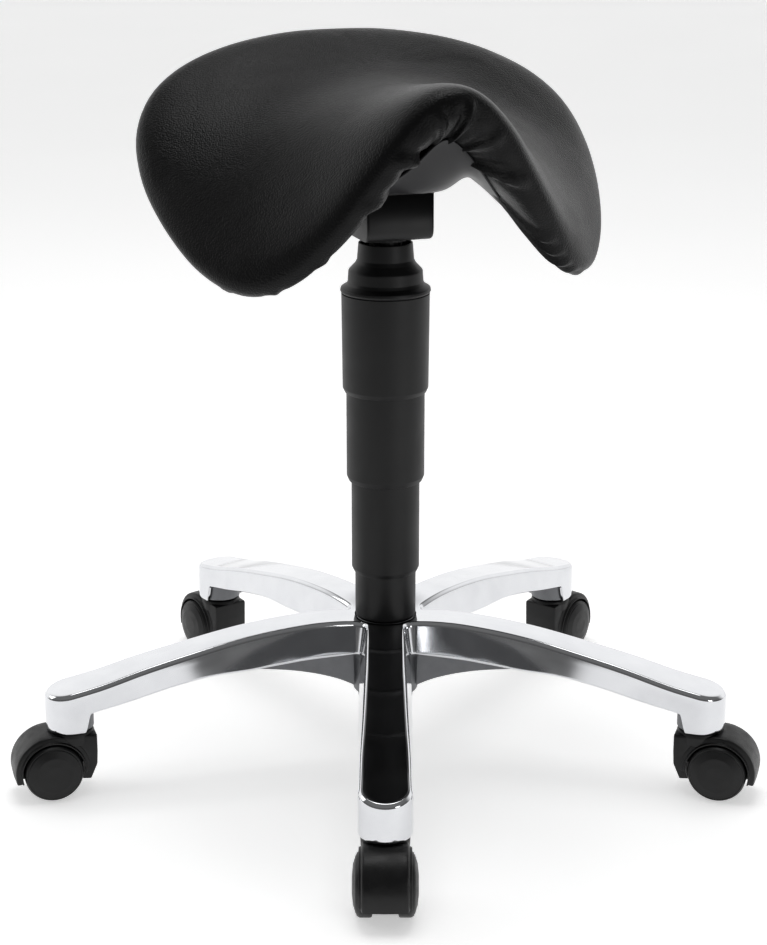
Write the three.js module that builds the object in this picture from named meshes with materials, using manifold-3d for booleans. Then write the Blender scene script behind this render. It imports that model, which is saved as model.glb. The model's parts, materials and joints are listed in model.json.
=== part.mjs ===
// Saddle stool for a dental practice: a padded leather saddle on a gas column with telescopic covers,
// a polished five-arm base and five hooded twin-wheel casters.
// Millimetres, +Z up. Heights count from the floor, and radii of the column from its upright axis.
import * as THREE from "three";
import { mergeVertices } from "three/addons/utils/BufferGeometryUtils.js";
import Module from "manifold-3d";

const wasm = await Module();
wasm.setup();

// Fits
const GAP = 0.3; // between pieces that touch or are pressed together
const ROUND = 24; // facets of a large turned piece
const SMALL_ROUND = 12; // facets of a pin, rod or hole

// Base
const ARM_COUNT = 5;
const STEM_RADIUS = 283; // column axis to a caster stem
const HUB_TOP = 128;
const HUB_BOTTOM = 58;
const HUB_BORE_TOP = 25.3;
const HUB_BORE_BOTTOM = 24.6;
const COVER_SEAT_RADIUS = 27.3; // flat round the bore on which the lowest cover stands
const ARM_WALL = 4;
const ARM_BEVEL = 2.5;
const RIB_THICKNESS = 6;
const POST_BOTTOM = 59;
const POST_BORE_TOP = 88;
const STEM_BORE = 5.8;

// Stations of an arm: distance from the column axis, top, lower edge, half width on top, half width below.
const ARM_STATIONS = [
  [20, 128, 101, 15, 20],
  [62, 131.5, 101.8, 15, 19.5],
  [140, 125.3, 98.3, 15.6, 21],
  [182, 117.5, 95.2, 16.3, 21.5],
  [222, 109, 86.6, 17.3, 21.4],
  [283, 94.8, 75, 18.6, 20.8],
];

// Casters, in a frame with its origin on the floor under the stem and +X trailing outward
const WHEEL_RADIUS = 25;
const WHEEL_FACETS = 20;
const CASTER_TRAIL = 19;
const WHEEL_INNER_FACE = 9.8;
const WHEEL_OUTER_FACE = 25.5;
const AXLE_RADIUS = 4;
const AXLE_HALF_LENGTH = 19.5;
const RUNNING_BORE = 4.3;
const HOOD_RADIUS = 32.5;
const HOOD_RIM_RADIUS = 28.4;
const HOOD_HALF_WIDTH = 18;
const HOOD_RIM_HALF_WIDTH = 22.5;
const WHEEL_WELL_RADIUS = 26.4;
const WEB_HALF_WIDTH = 9;
const NECK_RADIUS = 19.5;
const NECK_TOP = 57.6;
const STEM_FLOOR = 44;

// Column
const TUBE_TOP = 268;
const TUBE_FOOT = 50;
const CYLINDER_FOOT = 221;
const CYLINDER_TOP = 495;
const CYLINDER_RADIUS = 14;
const ROD_RADIUS = 5;
const BUTTON_TOP = 499.5;

// Seat carrier, in a frame with +X to the sitter's front and +Y to the sitter's left
const SEAT_TURN_DEG = 19.5; // the seat's swivel away from the front arm
const HOUSING_FRONT = 38;
const HOUSING_BACK = -92;
const HOUSING_HALF_WIDTH = 29;
const HOUSING_BOTTOM = 467;
const HOUSING_TOP = 506;
const HOUSING_WALL = 3;
const PLATE_TOP = 509.5;
const BOSS_FACE = 514;
const BOLT_X = [-76, 24];
const BOLT_Y = 19;
const PIVOT_Y = -21;
const PIVOT_Z = 496;

// Saddle: a flat pad outline bent over a middle surface
const SEAT_FORWARD = 149;
const SEAT_REARWARD = 161;
const SEAT_HALF_WIDTH = 204;
const SEAT_WIDEST_X = -64;
const SEAT_SHIFT_Y = 9;
const OUTLINE_POWER_FRONT = 1.7;
const OUTLINE_POWER_BACK = 2.45;
const PAD_HALF_THICKNESS = 29;
const PAD_EDGE_POWER = 3.1;
const SPINE_LOW_X = -35;
const SPINE_LOW_Z = 563.5;
const SPINE_FRONT_Z = 594;
const SPINE_BACK_Z = 620;
const DROP_FRONT = 2.92;
const DROP_BACK = 0.1;
const DROP_SOFTNESS_FRONT = 67;
const DROP_SOFTNESS_BACK = 101;
const DROP_BLEND_POWER = 2;
const UNDERSIDE_SPREAD = 1.6; // keeps the underside from folding into itself at the arch
const COVER_THICKNESS = 2.4;
const FOAM_GAP = 0.5;
const SHELL_THICKNESS = 6;
const PAD_SECTORS = 32;
const MIDDLE = 0.02;
const LIP_SHARE = 0.84;
const UPPER_SHARES = [1, 0.97, 0.88, 0.72, 0.5, 0.27, MIDDLE];
const LOWER_SHARES = [MIDDLE, 0.3, 0.6, 0.84, 0.93, 0.985];
const SHELL_SHARES = [MIDDLE, 0.3, 0.6, 0.82];
const ROOM_TOP = 4; // the boss ends inside the skin, this far above the underside

// ---- helpers ----

/** Makes a manifold solid from a closed geometry, turned the right way out. */
function toSolid(geometry) {
  const bare = geometry.clone();
  bare.deleteAttribute("normal");
  bare.deleteAttribute("uv");
  const merged = mergeVertices(bare, 1e-3);
  const index = merged.index.array;
  const triangles = [];
  for (let i = 0; i < index.length; i += 3) {
    const [a, b, c] = [index[i], index[i + 1], index[i + 2]];
    if (a !== b && b !== c && c !== a) triangles.push([a, b, c]);
  }
  const vertProperties = new Float32Array(merged.attributes.position.array);
  const build = (list) => new wasm.Manifold(new wasm.Mesh({
    numProp: 3,
    vertProperties,
    triVerts: new Uint32Array(list.flat()),
  }));
  const solid = build(triangles);
  return solid.volume() > 0 ? solid : build(triangles.map(([a, b, c]) => [a, c, b]));
}

/** Gives a solid back as a geometry. */
function toGeometry(solid) {
  const mesh = solid.getMesh();
  const geometry = new THREE.BufferGeometry();
  geometry.setAttribute("position", new THREE.BufferAttribute(new Float32Array(mesh.vertProperties), 3));
  geometry.setIndex(new THREE.BufferAttribute(new Uint32Array(mesh.triVerts), 1));
  geometry.computeVertexNormals();
  return geometry;
}

/** Turns a profile of [radius, height] points about +Z. */
function turned(profile, facets = ROUND, firstAngle = 0) {
  const points = profile.map(([radius, height]) => new THREE.Vector2(radius, height));
  const geometry = new THREE.LatheGeometry(points, facets);
  geometry.rotateX(Math.PI / 2);
  geometry.rotateZ(firstAngle);
  return toSolid(geometry);
}

/** Turns a closed profile, whose last point joins its first, about +Z. */
function ring(profile, facets = ROUND) {
  return turned([...profile, profile[0]], facets);
}

/** A plain round bar from one height to another. */
function bar(radius, bottom, top, facets = SMALL_ROUND) {
  return turned([[0, bottom], [radius, bottom], [radius, top], [0, top]], facets);
}

/** A box given by its smallest and largest corner. */
function block(low, high) {
  const size = high.map((value, axis) => value - low[axis]);
  const geometry = new THREE.BoxGeometry(...size);
  geometry.translate(...low.map((value, axis) => value + size[axis] / 2));
  return toSolid(geometry);
}

/** Extrudes a closed outline in the XZ plane evenly to both sides of Y = 0. */
function slabXZ(shape, halfWidth, curveSegments = 12) {
  const geometry = new THREE.ExtrudeGeometry(shape, {
    depth: 2 * halfWidth,
    bevelEnabled: false,
    curveSegments,
  });
  geometry.translate(0, 0, -halfWidth);
  geometry.rotateX(Math.PI / 2);
  return toSolid(geometry);
}

/** A round bar along a curve. */
function sweptBar(points, radius, steps) {
  const section = new THREE.Shape().absarc(0, 0, radius, 0, 2 * Math.PI);
  const extrudePath = new THREE.CatmullRomCurve3(points.map((point) => new THREE.Vector3(...point)));
  const settings = { steps, curveSegments: 5, bevelEnabled: false, extrudePath };
  const geometry = new THREE.ExtrudeGeometry(section, settings);
  return toSolid(geometry);
}

/** The main body of a joined or cut solid, without slivers and enclosed voids. */
function mainBody(solid) {
  return solid.decompose().reduce((largest, body) => (body.volume() > largest.volume() ? body : largest));
}

/** Joins rings of equal point counts into one closed body. */
function loft(rings) {
  const count = rings[0].length;
  const positions = rings.flat(2);
  const index = [];
  for (let row = 0; row + 1 < rings.length; row += 1) {
    for (let i = 0; i < count; i += 1) {
      const a = row * count + i;
      const b = row * count + ((i + 1) % count);
      index.push(a, b, b + count, a, b + count, a + count);
    }
  }
  const last = (rings.length - 1) * count;
  for (let i = 1; i + 1 < count; i += 1) {
    index.push(0, i + 1, i);
    index.push(last, last + i, last + i + 1);
  }
  const geometry = new THREE.BufferGeometry();
  geometry.setAttribute("position", new THREE.BufferAttribute(new Float32Array(positions), 3));
  geometry.setIndex(index);
  return toSolid(geometry);
}

const stool = new THREE.Group();

/** Adds one named piece to a group. */
function place(group, name, solid, material) {
  const mesh = new THREE.Mesh(toGeometry(solid), material());
  mesh.name = name;
  group.add(mesh);
  return mesh;
}

// ---- materials ----

/** A material of its own for each mesh. */
function surface(color, metalness, roughness) {
  return new THREE.MeshStandardMaterial({ color, metalness, roughness });
}

const polishedAluminium = () => surface("#d9dadb", 1, 0.08);
const zincSteel = () => surface("#a9abad", 1, 0.35);
const blackSteel = () => surface("#1d1d1e", 0.3, 0.5);
const blackNylon = () => surface("#1b1b1c", 0, 0.55);
const treadPlastic = () => surface("#161617", 0, 0.45);
const sleevePlastic = () => surface("#222223", 0, 0.5);
const whitePlastic = () => surface("#cfcdc6", 0, 0.5);
const rubber = () => surface("#141414", 0, 0.8);
const shellPlastic = () => surface("#2b2b2c", 0, 0.45);
const foam = () => surface("#c9bf9e", 0, 0.95);
const leather = () => surface("#1c1c1d", 0, 0.4);

// ---- base ----

/** The outer body of one arm along +X: a crowned bar with drafted sides. */
function armBody() {
  return loft(ARM_STATIONS.map(([x, top, bottom, topHalf, lowHalf]) => [
    [x, topHalf, top],
    [x, topHalf + ARM_BEVEL, top - ARM_BEVEL],
    [x, lowHalf, bottom],
    [x, -lowHalf, bottom],
    [x, -topHalf - ARM_BEVEL, top - ARM_BEVEL],
    [x, -topHalf, top],
  ]));
}

/** The hollow under one arm, open at the bottom. */
function armHollow() {
  return loft(ARM_STATIONS.slice(1, -1).map(([x, top, bottom, topHalf, lowHalf]) => [
    [x, topHalf - ARM_WALL + ARM_BEVEL, top - ARM_WALL - 1],
    [x, lowHalf - ARM_WALL, bottom - 5],
    [x, -lowHalf + ARM_WALL, bottom - 5],
    [x, -topHalf + ARM_WALL - ARM_BEVEL, top - ARM_WALL - 1],
  ]));
}

/** The upright rib under one arm, deepest at the hub. */
function armRib() {
  const side = new THREE.Shape();
  side.moveTo(22, HUB_BOTTOM + 2);
  side.quadraticCurveTo(52, 76, 82, 83);
  side.quadraticCurveTo(130, 91, 205, 97);
  side.lineTo(205, 108);
  side.lineTo(140, 121);
  side.lineTo(62, 127);
  side.lineTo(22, 124);
  side.closePath();
  return slabXZ(side, RIB_THICKNESS / 2, 4);
}

/** The round post at an arm's tip, which carries the caster stem. */
function tipPost() {
  return turned([
    [0, POST_BOTTOM],
    [20.6, POST_BOTTOM],
    [21.3, 84],
    [20.5, 91.5],
    [17, 94.4],
    [0, 94.9],
  ], 16).translate([STEM_RADIUS, 0, 0]);
}

/** The stem's hole, open at the bottom of the post. */
function postBore() {
  return bar(STEM_BORE, POST_BOTTOM - 1, POST_BORE_TOP).translate([STEM_RADIUS, 0, 0]);
}

/** The hub without its bore. */
function hubBody() {
  return turned([
    [0, HUB_BOTTOM],
    [28.5, HUB_BOTTOM],
    [30, HUB_BOTTOM + 2],
    [31, 96],
    [34.5, 102],
    [34.5, HUB_TOP - 3],
    [32, HUB_TOP],
    [0, HUB_TOP],
  ]);
}

/** The hub's bore, a slow taper that holds the gas tube. */
function hubBore() {
  return turned([
    [0, HUB_BOTTOM - 1],
    [HUB_BORE_BOTTOM, HUB_BOTTOM - 1],
    [HUB_BORE_TOP, 118],
    [HUB_BORE_TOP, HUB_TOP],
    [COVER_SEAT_RADIUS, HUB_TOP],
    [COVER_SEAT_RADIUS, HUB_TOP + 9],
    [0, HUB_TOP + 9],
  ]);
}

/** Angle of arm number i about the column, the first one straight to the front. */
function armAngle(i) {
  return -Math.PI / 2 + (i * 2 * Math.PI) / ARM_COUNT;
}

/** Turns a solid that lies along +X to arm number i. */
function toArm(solid, i) {
  return solid.rotate([0, 0, THREE.MathUtils.radToDeg(armAngle(i))]);
}

function makeStarBase() {
  const arm = armBody().subtract(armHollow()).add(armRib()).add(tipPost()).subtract(postBore());
  let star = hubBody();
  for (let i = 0; i < ARM_COUNT; i += 1) star = star.add(toArm(arm, i));
  place(stool, "star_base", star.subtract(hubBore()), polishedAluminium);
}

// ---- casters ----

/** Turns a profile of [radius, height] points about the caster's axle, height running to +Y. */
function aboutAxle(profile, facets, firstAngle = 0) {
  return turned(profile, facets, firstAngle).rotate([-90, 0, 0]).translate([CASTER_TRAIL, 0, WHEEL_RADIUS]);
}

/** One wheel on the +Y side; a flat of its tread faces the floor. */
function wheelBody() {
  const toCorner = 1 / Math.cos(Math.PI / WHEEL_FACETS);
  const profile = [
    [0, WHEEL_OUTER_FACE],
    [15, WHEEL_OUTER_FACE - 1],
    [23.6, 21.5],
    [WHEEL_RADIUS, 18],
    [WHEEL_RADIUS, WHEEL_INNER_FACE],
    [RUNNING_BORE, WHEEL_INNER_FACE],
    [RUNNING_BORE, AXLE_HALF_LENGTH + 0.5],
    [0, AXLE_HALF_LENGTH + 0.5],
  ].map(([radius, y]) => [radius * toCorner, y]);
  return aboutAxle(profile, WHEEL_FACETS, Math.PI / WHEEL_FACETS);
}

/** A fender outline about the axle, from low on the outer side over the top to the inner side. */
function hoodOutline(radius) {
  const start = THREE.MathUtils.degToRad(-14);
  const outline = new THREE.Shape();
  outline.moveTo(radius * Math.cos(start), radius * Math.sin(start));
  outline.absarc(0, 0, radius, start, Math.PI);
  outline.lineTo(-radius + 6, -1);
  outline.quadraticCurveTo(-14, -8, 0, -9.5);
  outline.quadraticCurveTo(14, -9.5, radius * Math.cos(start) - 4, radius * Math.sin(start) - 0.6);
  return outline;
}

/** The space of the wheel on the side given by sign, with its running clearance. */
function wheelWell(sign) {
  const inner = WEB_HALF_WIDTH;
  const radius = WHEEL_WELL_RADIUS;
  const well = aboutAxle([[0, inner], [radius, inner], [radius, 40], [0, 40]], WHEEL_FACETS);
  return sign > 0 ? well : well.mirror([0, 1, 0]);
}

function hoodBody() {
  const toAxle = [CASTER_TRAIL, 0, WHEEL_RADIUS];
  const band = slabXZ(hoodOutline(HOOD_RADIUS), HOOD_HALF_WIDTH, 6).translate(toAxle);
  const rim = slabXZ(hoodOutline(HOOD_RIM_RADIUS), HOOD_RIM_HALF_WIDTH, 6).translate(toAxle);
  const neck = bar(NECK_RADIUS, 40, NECK_TOP, 12);
  const stemHole = bar(STEM_BORE, STEM_FLOOR, NECK_TOP + 1);
  const axleHole = aboutAxle([[0, -12], [RUNNING_BORE, -12], [RUNNING_BORE, 12], [0, 12]], SMALL_ROUND);
  return band.add(rim).add(neck)
    .subtract(wheelWell(1)).subtract(wheelWell(-1))
    .subtract(stemHole).subtract(axleHole);
}

function stemBody() {
  return turned([
    [0, STEM_FLOOR + 0.4],
    [5.5, STEM_FLOOR + 0.4],
    [5.5, NECK_TOP + GAP],
    [9, NECK_TOP + GAP],
    [9, POST_BOTTOM - GAP],
    [5.5, POST_BOTTOM - GAP],
    [5.5, 84],
    [4.5, 86.5],
    [0, 86.5],
  ], SMALL_ROUND);
}

function axleBody() {
  const [from, to] = [-AXLE_HALF_LENGTH, AXLE_HALF_LENGTH];
  return aboutAxle([[0, from], [AXLE_RADIUS, from], [AXLE_RADIUS, to], [0, to]], SMALL_ROUND);
}

function makeCasters() {
  const hood = hoodBody();
  const stem = stemBody();
  const axle = axleBody();
  const leftWheel = wheelBody();
  const rightWheel = leftWheel.mirror([0, 1, 0]);
  for (let i = 0; i < ARM_COUNT; i += 1) {
    const angle = armAngle(i);
    const caster = new THREE.Group();
    caster.position.set(STEM_RADIUS * Math.cos(angle), STEM_RADIUS * Math.sin(angle), 0);
    caster.rotation.z = angle;
    const number = i + 1;
    place(caster, `caster_stem_${number}`, stem, zincSteel);
    place(caster, `caster_hood_${number}`, hood, blackNylon);
    place(caster, `caster_axle_${number}`, axle, zincSteel);
    place(caster, `caster_wheel_left_${number}`, leftWheel, treadPlastic);
    place(caster, `caster_wheel_right_${number}`, rightWheel, treadPlastic);
    stool.add(caster);
  }
}

// ---- gas column ----

function makeGasColumn() {
  place(stool, "gas_outer_tube", ring([
    [24.2, TUBE_FOOT], [25, 118], [25, TUBE_TOP], [23.5, TUBE_TOP], [23.5, 118], [22.7, 57],
    [ROD_RADIUS + 0.5, 57], [ROD_RADIUS + 0.5, 54], [22.6, 54], [22.6, TUBE_FOOT],
  ]), blackSteel);
  place(stool, "gas_guide_bush", ring([
    [14.4, 190], [23.2, 190], [23.2, TUBE_TOP + GAP], [25, TUBE_TOP + GAP], [25, 270.5], [14.4, 270.5],
  ]), whitePlastic);
  place(stool, "thrust_bearing", ring([
    [6, 57.3], [14, 57.3], [14, 63.3], [6, 63.3],
  ], 20), zincSteel);
  place(stool, "bearing_washer", ring([[6, 63.6], [15, 63.6], [15, 65.1], [6, 65.1]], 20), zincSteel);
  place(stool, "rubber_bumper", ring([[6, 65.4], [13, 65.4], [12, 71], [6, 71]], 20), rubber);
  place(stool, "retaining_clip", ring([
    [ROD_RADIUS + GAP, 51.5], [9.5, 51.5], [9.5, 53.2], [ROD_RADIUS + GAP, 53.2],
  ], SMALL_ROUND), zincSteel);
  place(stool, "gas_piston_rod", turned([
    [0, 48], [ROD_RADIUS - 1, 48], [ROD_RADIUS, 49], [ROD_RADIUS, 246], [0, 246],
  ], SMALL_ROUND), zincSteel);
  place(stool, "gas_piston", ring([
    [ROD_RADIUS + GAP, 236], [12.3, 236], [12.3, 245.7], [ROD_RADIUS + GAP, 245.7],
  ], 20), rubber);
  place(stool, "gas_cylinder", ring([
    [ROD_RADIUS + 0.5, CYLINDER_FOOT], [CYLINDER_RADIUS, CYLINDER_FOOT], [CYLINDER_RADIUS, 462],
    [13, CYLINDER_TOP], [3.8, CYLINDER_TOP], [3.8, 486], [12, 486], [12.7, 462], [12.7, 226],
    [ROD_RADIUS + 0.5, 226],
  ]), blackSteel);
  place(stool, "valve_button", turned([
    [0, 476], [6, 476], [6, 480], [3.3, 480], [3.3, BUTTON_TOP], [0, BUTTON_TOP],
  ], SMALL_ROUND), zincSteel);
}

// ---- telescopic covers ----

/** One cover sleeve: a tube with an inward lip at its foot and an outward flange on top. */
function sleeve({ foot, top, outerFoot, outerTop, inner, lipInner, flangeOuter, chamfer }) {
  return ring([
    [lipInner, foot],
    [outerFoot - chamfer * 0.6, foot],
    [outerFoot, foot + chamfer],
    [outerTop, top - 3],
    [flangeOuter, top - 3],
    [flangeOuter, top],
    [inner, top],
    [inner, foot + 4],
    [lipInner, foot + 4],
  ]);
}

function makeCovers() {
  place(stool, "cover_sleeve_4", sleeve({
    foot: HUB_TOP + GAP, top: 190, outerFoot: 26.6, outerTop: 26.6,
    inner: 25.4, lipInner: 25.35, flangeOuter: 27.5, chamfer: 0.5,
  }), sleevePlastic);
  place(stool, "cover_sleeve_3", sleeve({
    foot: 169.5, top: 273, outerFoot: 29.6, outerTop: 29.6,
    inner: 28, lipInner: 27.1, flangeOuter: 31.4, chamfer: 4,
  }), sleevePlastic);
  place(stool, "cover_sleeve_2", sleeve({
    foot: 252.7, top: 356, outerFoot: 33.7, outerTop: 33.7,
    inner: 32, lipInner: 30.2, flangeOuter: 34.7, chamfer: 4.5,
  }), sleevePlastic);
  place(stool, "cover_sleeve_1", sleeve({
    foot: 331.9, top: 417.7, outerFoot: 36.8, outerTop: 37.5,
    inner: 35.3, lipInner: 34.3, flangeOuter: 37.6, chamfer: 4,
  }), sleevePlastic);
  place(stool, "cover_boot", ring([
    [30, 418], [37.2, 418], [38.4, 419.8], [37.8, 423], [32.4, 426], [32, 436],
    [24.8, 444.5], [22.9, 457], [21, 457], [23, 442], [30, 434],
  ], 28), sleevePlastic);
}

// ---- seat carrier ----

/** Bottom tray of pressed steel: rounded front and back edges, open on top. */
function housingBody() {
  const tray = (inset) => {
    const [front, back] = [HOUSING_FRONT - inset, HOUSING_BACK + inset];
    const bottom = HOUSING_BOTTOM + inset;
    const top = HOUSING_TOP + (inset ? 5 : 0);
    const bend = 10 - inset;
    const outline = new THREE.Shape();
    outline.moveTo(front, top);
    outline.lineTo(back, top);
    outline.lineTo(back, bottom + bend);
    outline.absarc(back + bend, bottom + bend, bend, Math.PI, 1.5 * Math.PI);
    outline.lineTo(front - bend, bottom);
    outline.absarc(front - bend, bottom + bend, bend, 1.5 * Math.PI, 2 * Math.PI);
    return slabXZ(outline, HOUSING_HALF_WIDTH - inset, 4);
  };
  const leverSlot = block([-9, -40, 484], [9, -20, HOUSING_TOP + 5]);
  return tray(0).subtract(tray(HOUSING_WALL)).subtract(bar(18.3, 460, 480, 24)).subtract(leverSlot);
}

/** The plate that closes the tray and carries the seat. */
function plateBody() {
  const low = [HOUSING_BACK, -HOUSING_HALF_WIDTH, HOUSING_TOP + GAP];
  let plate = block(low, [HOUSING_FRONT, HOUSING_HALF_WIDTH, PLATE_TOP]);
  for (const [x, y] of boltPlaces()) plate = plate.subtract(bar(4.4, 500, 512).translate([x, y, 0]));
  return plate;
}

/** The four bolt places as [x, y]. */
function boltPlaces() {
  return BOLT_X.flatMap((x) => [[x, BOLT_Y], [x, -BOLT_Y]]);
}

/** A spacer bar between plate and seat with its two bolt holes. */
function spacerBody(x) {
  let spacer = block([x - 8, -28, PLATE_TOP + GAP], [x + 8, 28, BOSS_FACE - GAP]);
  for (const side of [-1, 1]) spacer = spacer.subtract(bar(4.4, 505, 520).translate([x, side * BOLT_Y, 0]));
  return spacer;
}

function boltBody() {
  return turned([
    [0, 500.5], [6.3, 500.5], [6.3, HOUSING_TOP], [4, HOUSING_TOP], [4, 526], [0, 526],
  ], SMALL_ROUND);
}

/** Two cheeks that hold the lever's pin, hung from the plate. */
function bracketBody() {
  const [back, front] = [PIVOT_Y - 4.5, PIVOT_Y + 4.5];
  const bridge = block([-12, back, HOUSING_TOP - 2.2], [12, front, HOUSING_TOP]);
  const cheek = block([8, back, PIVOT_Z - 6.5], [11, front, HOUSING_TOP]);
  const otherCheek = block([-11, back, PIVOT_Z - 6.5], [-8, front, HOUSING_TOP]);
  return bridge.add(cheek).add(otherCheek).subtract(pinBar(3.3, 20));
}

/** A bar along the lever's pivot. */
function pinBar(radius, halfLength) {
  return bar(radius, -halfLength, halfLength).rotate([0, 90, 0]).translate([0, PIVOT_Y, PIVOT_Z]);
}

const LEVER_PATH = [
  [0, PIVOT_Y - 2, PIVOT_Z],
  [0, -34, PIVOT_Z - 1],
  [-6, -62, 486],
  [-16, -95, 470],
  [-24, -125, 457],
];
const GRIP_PATH = [
  [-17.5, -100, 467.8],
  [-24, -125, 457],
  [-32, -154, 447],
];

function leverBody() {
  const hub = pinBar(6, 7);
  const underside = BUTTON_TOP + 0.4;
  const paddle = block([-5, PIVOT_Y - 3, PIVOT_Z + 2], [5, PIVOT_Y + 4, underside + 3])
    .add(block([-5, PIVOT_Y - 3, underside], [5, 5, underside + 3]));
  const rod = sweptBar(LEVER_PATH, 3.8, 12);
  return hub.add(paddle).add(rod).subtract(pinBar(3.3, 20));
}

function gripBody() {
  return sweptBar(GRIP_PATH, 7.5, 8).subtract(sweptBar(LEVER_PATH, 4.1, 12));
}

/** The steel sleeve in the tray's floor that takes the cylinder's taper. */
function socketBody() {
  return ring([[14.35, 463], [18, 463], [18, 489.3], [13.7, 489.3], [14.45, 466]], 20);
}

function makeSeatCarrier(seat) {
  place(seat, "mechanism_housing", housingBody(), blackSteel);
  place(seat, "mechanism_plate", plateBody(), blackSteel);
  place(seat, "taper_socket", socketBody(), zincSteel);
  place(seat, "lever_bracket", bracketBody(), zincSteel);
  place(seat, "lever_pin", pinBar(3, 13), zincSteel);
  place(seat, "height_lever", leverBody(), zincSteel);
  place(seat, "lever_grip", gripBody(), blackNylon);
  place(seat, "seat_spacer_front", spacerBody(BOLT_X[1]), blackSteel);
  place(seat, "seat_spacer_rear", spacerBody(BOLT_X[0]), blackSteel);
  boltPlaces().forEach(([x, y], i) => {
    place(seat, `seat_bolt_${i + 1}`, boltBody().translate([x, y, 0]), zincSteel);
  });
}

// ---- saddle ----

/** Height of the pad's middle surface; spread widens the bend over the front arch. */
function middleHeight(x, y, spread = 1) {
  const towardEnd = x > SPINE_LOW_X ? SEAT_FORWARD - SPINE_LOW_X : -SEAT_REARWARD - SPINE_LOW_X;
  const rise = x > SPINE_LOW_X ? SPINE_FRONT_Z - SPINE_LOW_Z : SPINE_BACK_Z - SPINE_LOW_Z;
  const spine = SPINE_LOW_Z + rise * ((x - SPINE_LOW_X) / towardEnd) ** 2;
  const along = THREE.MathUtils.clamp((x + SEAT_REARWARD) / (SEAT_REARWARD + SEAT_FORWARD), 0, 1);
  const blend = along ** DROP_BLEND_POWER;
  const drop = THREE.MathUtils.lerp(DROP_BACK, DROP_FRONT, blend);
  const softness = spread * THREE.MathUtils.lerp(DROP_SOFTNESS_BACK, DROP_SOFTNESS_FRONT, blend);
  return spine - drop * (Math.hypot(y, softness) - softness);
}

/** A point of the pad: along the normal above the middle surface, along a calmer fan below it. */
function padPoint(x, y, offset) {
  const spread = offset < 0 ? UNDERSIDE_SPREAD : 1;
  const slopeX = middleHeight(x + 0.5, y, spread) - middleHeight(x - 0.5, y, spread);
  const slopeY = middleHeight(x, y + 0.5, spread) - middleHeight(x, y - 0.5, spread);
  const step = new THREE.Vector3(-slopeX, -slopeY, 1).normalize().multiplyScalar(offset);
  return [x + step.x, y + SEAT_SHIFT_Y + step.y, middleHeight(x, y) + step.z];
}

/** Radius of the seat's flat outline in a direction about its widest place. */
function outlineRadius(angle) {
  const [cos, sin] = [Math.cos(angle), Math.sin(angle)];
  const half = cos >= 0 ? SEAT_FORWARD - SEAT_WIDEST_X : SEAT_REARWARD + SEAT_WIDEST_X;
  const power = cos >= 0 ? OUTLINE_POWER_FRONT : OUTLINE_POWER_BACK;
  return (Math.abs(cos / half) ** power + Math.abs(sin / SEAT_HALF_WIDTH) ** power) ** (-1 / power);
}

/** Half thickness of the pad at a share of the outline's radius. */
function halfThickness(share) {
  return PAD_HALF_THICKNESS * (1 - share ** PAD_EDGE_POWER) ** (1 / PAD_EDGE_POWER);
}

/** A ring of points all round the pad at a share of the outline's radius, inset from the outline. */
function padRing(share, offset, inset) {
  return Array.from({ length: PAD_SECTORS }, (_, i) => {
    const angle = (i * 2 * Math.PI) / PAD_SECTORS;
    const radius = share * (outlineRadius(angle) - inset);
    return padPoint(SEAT_WIDEST_X + radius * Math.cos(angle), radius * Math.sin(angle), offset);
  });
}

/** Rings over the upper skin from the rim to the middle, held below it by the inset. */
function upperRings(inset) {
  return UPPER_SHARES.map((share) => padRing(share, halfThickness(share) - inset * (1 - share ** 8), inset));
}

/** Rings over the lower skin from one share to another, held above it by the inset. */
function lowerRings(shares, inset) {
  return shares.map((share) => padRing(share, -halfThickness(share) + inset * (1 - share ** 8), inset));
}

/** The whole pad, smaller by the inset on every side. */
function padSolid(inset) {
  return loft([...lowerRings(LOWER_SHARES, inset), ...upperRings(inset)]);
}

/** A layer along the pad's underside out to a share, from one height above the underside to another. */
function undersideLayer(shares, from, to) {
  const low = shares.map((share) => padRing(share, -halfThickness(share) + from, 0));
  const high = [...shares].reverse().map((share) => padRing(share, -halfThickness(share) + to, 0));
  return loft([...low, ...high]);
}

/** Leather: over the top, round the rim, with a lip turned in under the edge. */
function coverBody() {
  const opening = undersideLayer([MIDDLE, 0.3, 0.6, LIP_SHARE], -4, COVER_THICKNESS + 2);
  return mainBody(padSolid(0).subtract(padSolid(COVER_THICKNESS)).subtract(opening));
}

/** Foam that fills the leather above the shell. */
function foamBody() {
  const shellRoom = undersideLayer([MIDDLE, 0.3, 0.6, LIP_SHARE], -4, SHELL_THICKNESS + 1);
  return mainBody(padSolid(COVER_THICKNESS + FOAM_GAP).subtract(shellRoom));
}

/** The mounting boss: a flat face for the spacers, widening up into the shell's skin. */
function shellBoss() {
  const rectangle = (back, front, half, z) => [
    [back, -half, z], [front, -half, z], [front, half, z], [back, half, z],
  ];
  return loft([
    rectangle(HOUSING_BACK - 4, HOUSING_FRONT + 6, 34, BOSS_FACE),
    rectangle(HOUSING_BACK - 22, 112, 52, 564),
  ]);
}

/** Everything under the shell's skin, down to a level below the boss. */
function roomUnderSkin() {
  const shares = [...SHELL_SHARES].reverse();
  const top = shares.map((share) => padRing(share, -halfThickness(share) + ROOM_TOP, 0));
  const floor = [...top].reverse().map((row) => row.map(([x, y]) => [x, y, BOSS_FACE - 20]));
  return loft([...floor, ...top]);
}

/** Moulded shell: a skin under the foam with the mounting boss, and blind holes for the bolts. */
function shellBody() {
  const skin = undersideLayer(SHELL_SHARES, 0.4, SHELL_THICKNESS);
  let shell = mainBody(skin.add(shellBoss().intersect(roomUnderSkin())));
  for (const [x, y] of boltPlaces()) shell = shell.subtract(bar(4.4, 510, 527).translate([x, y, 0]));
  return shell;
}

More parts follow.
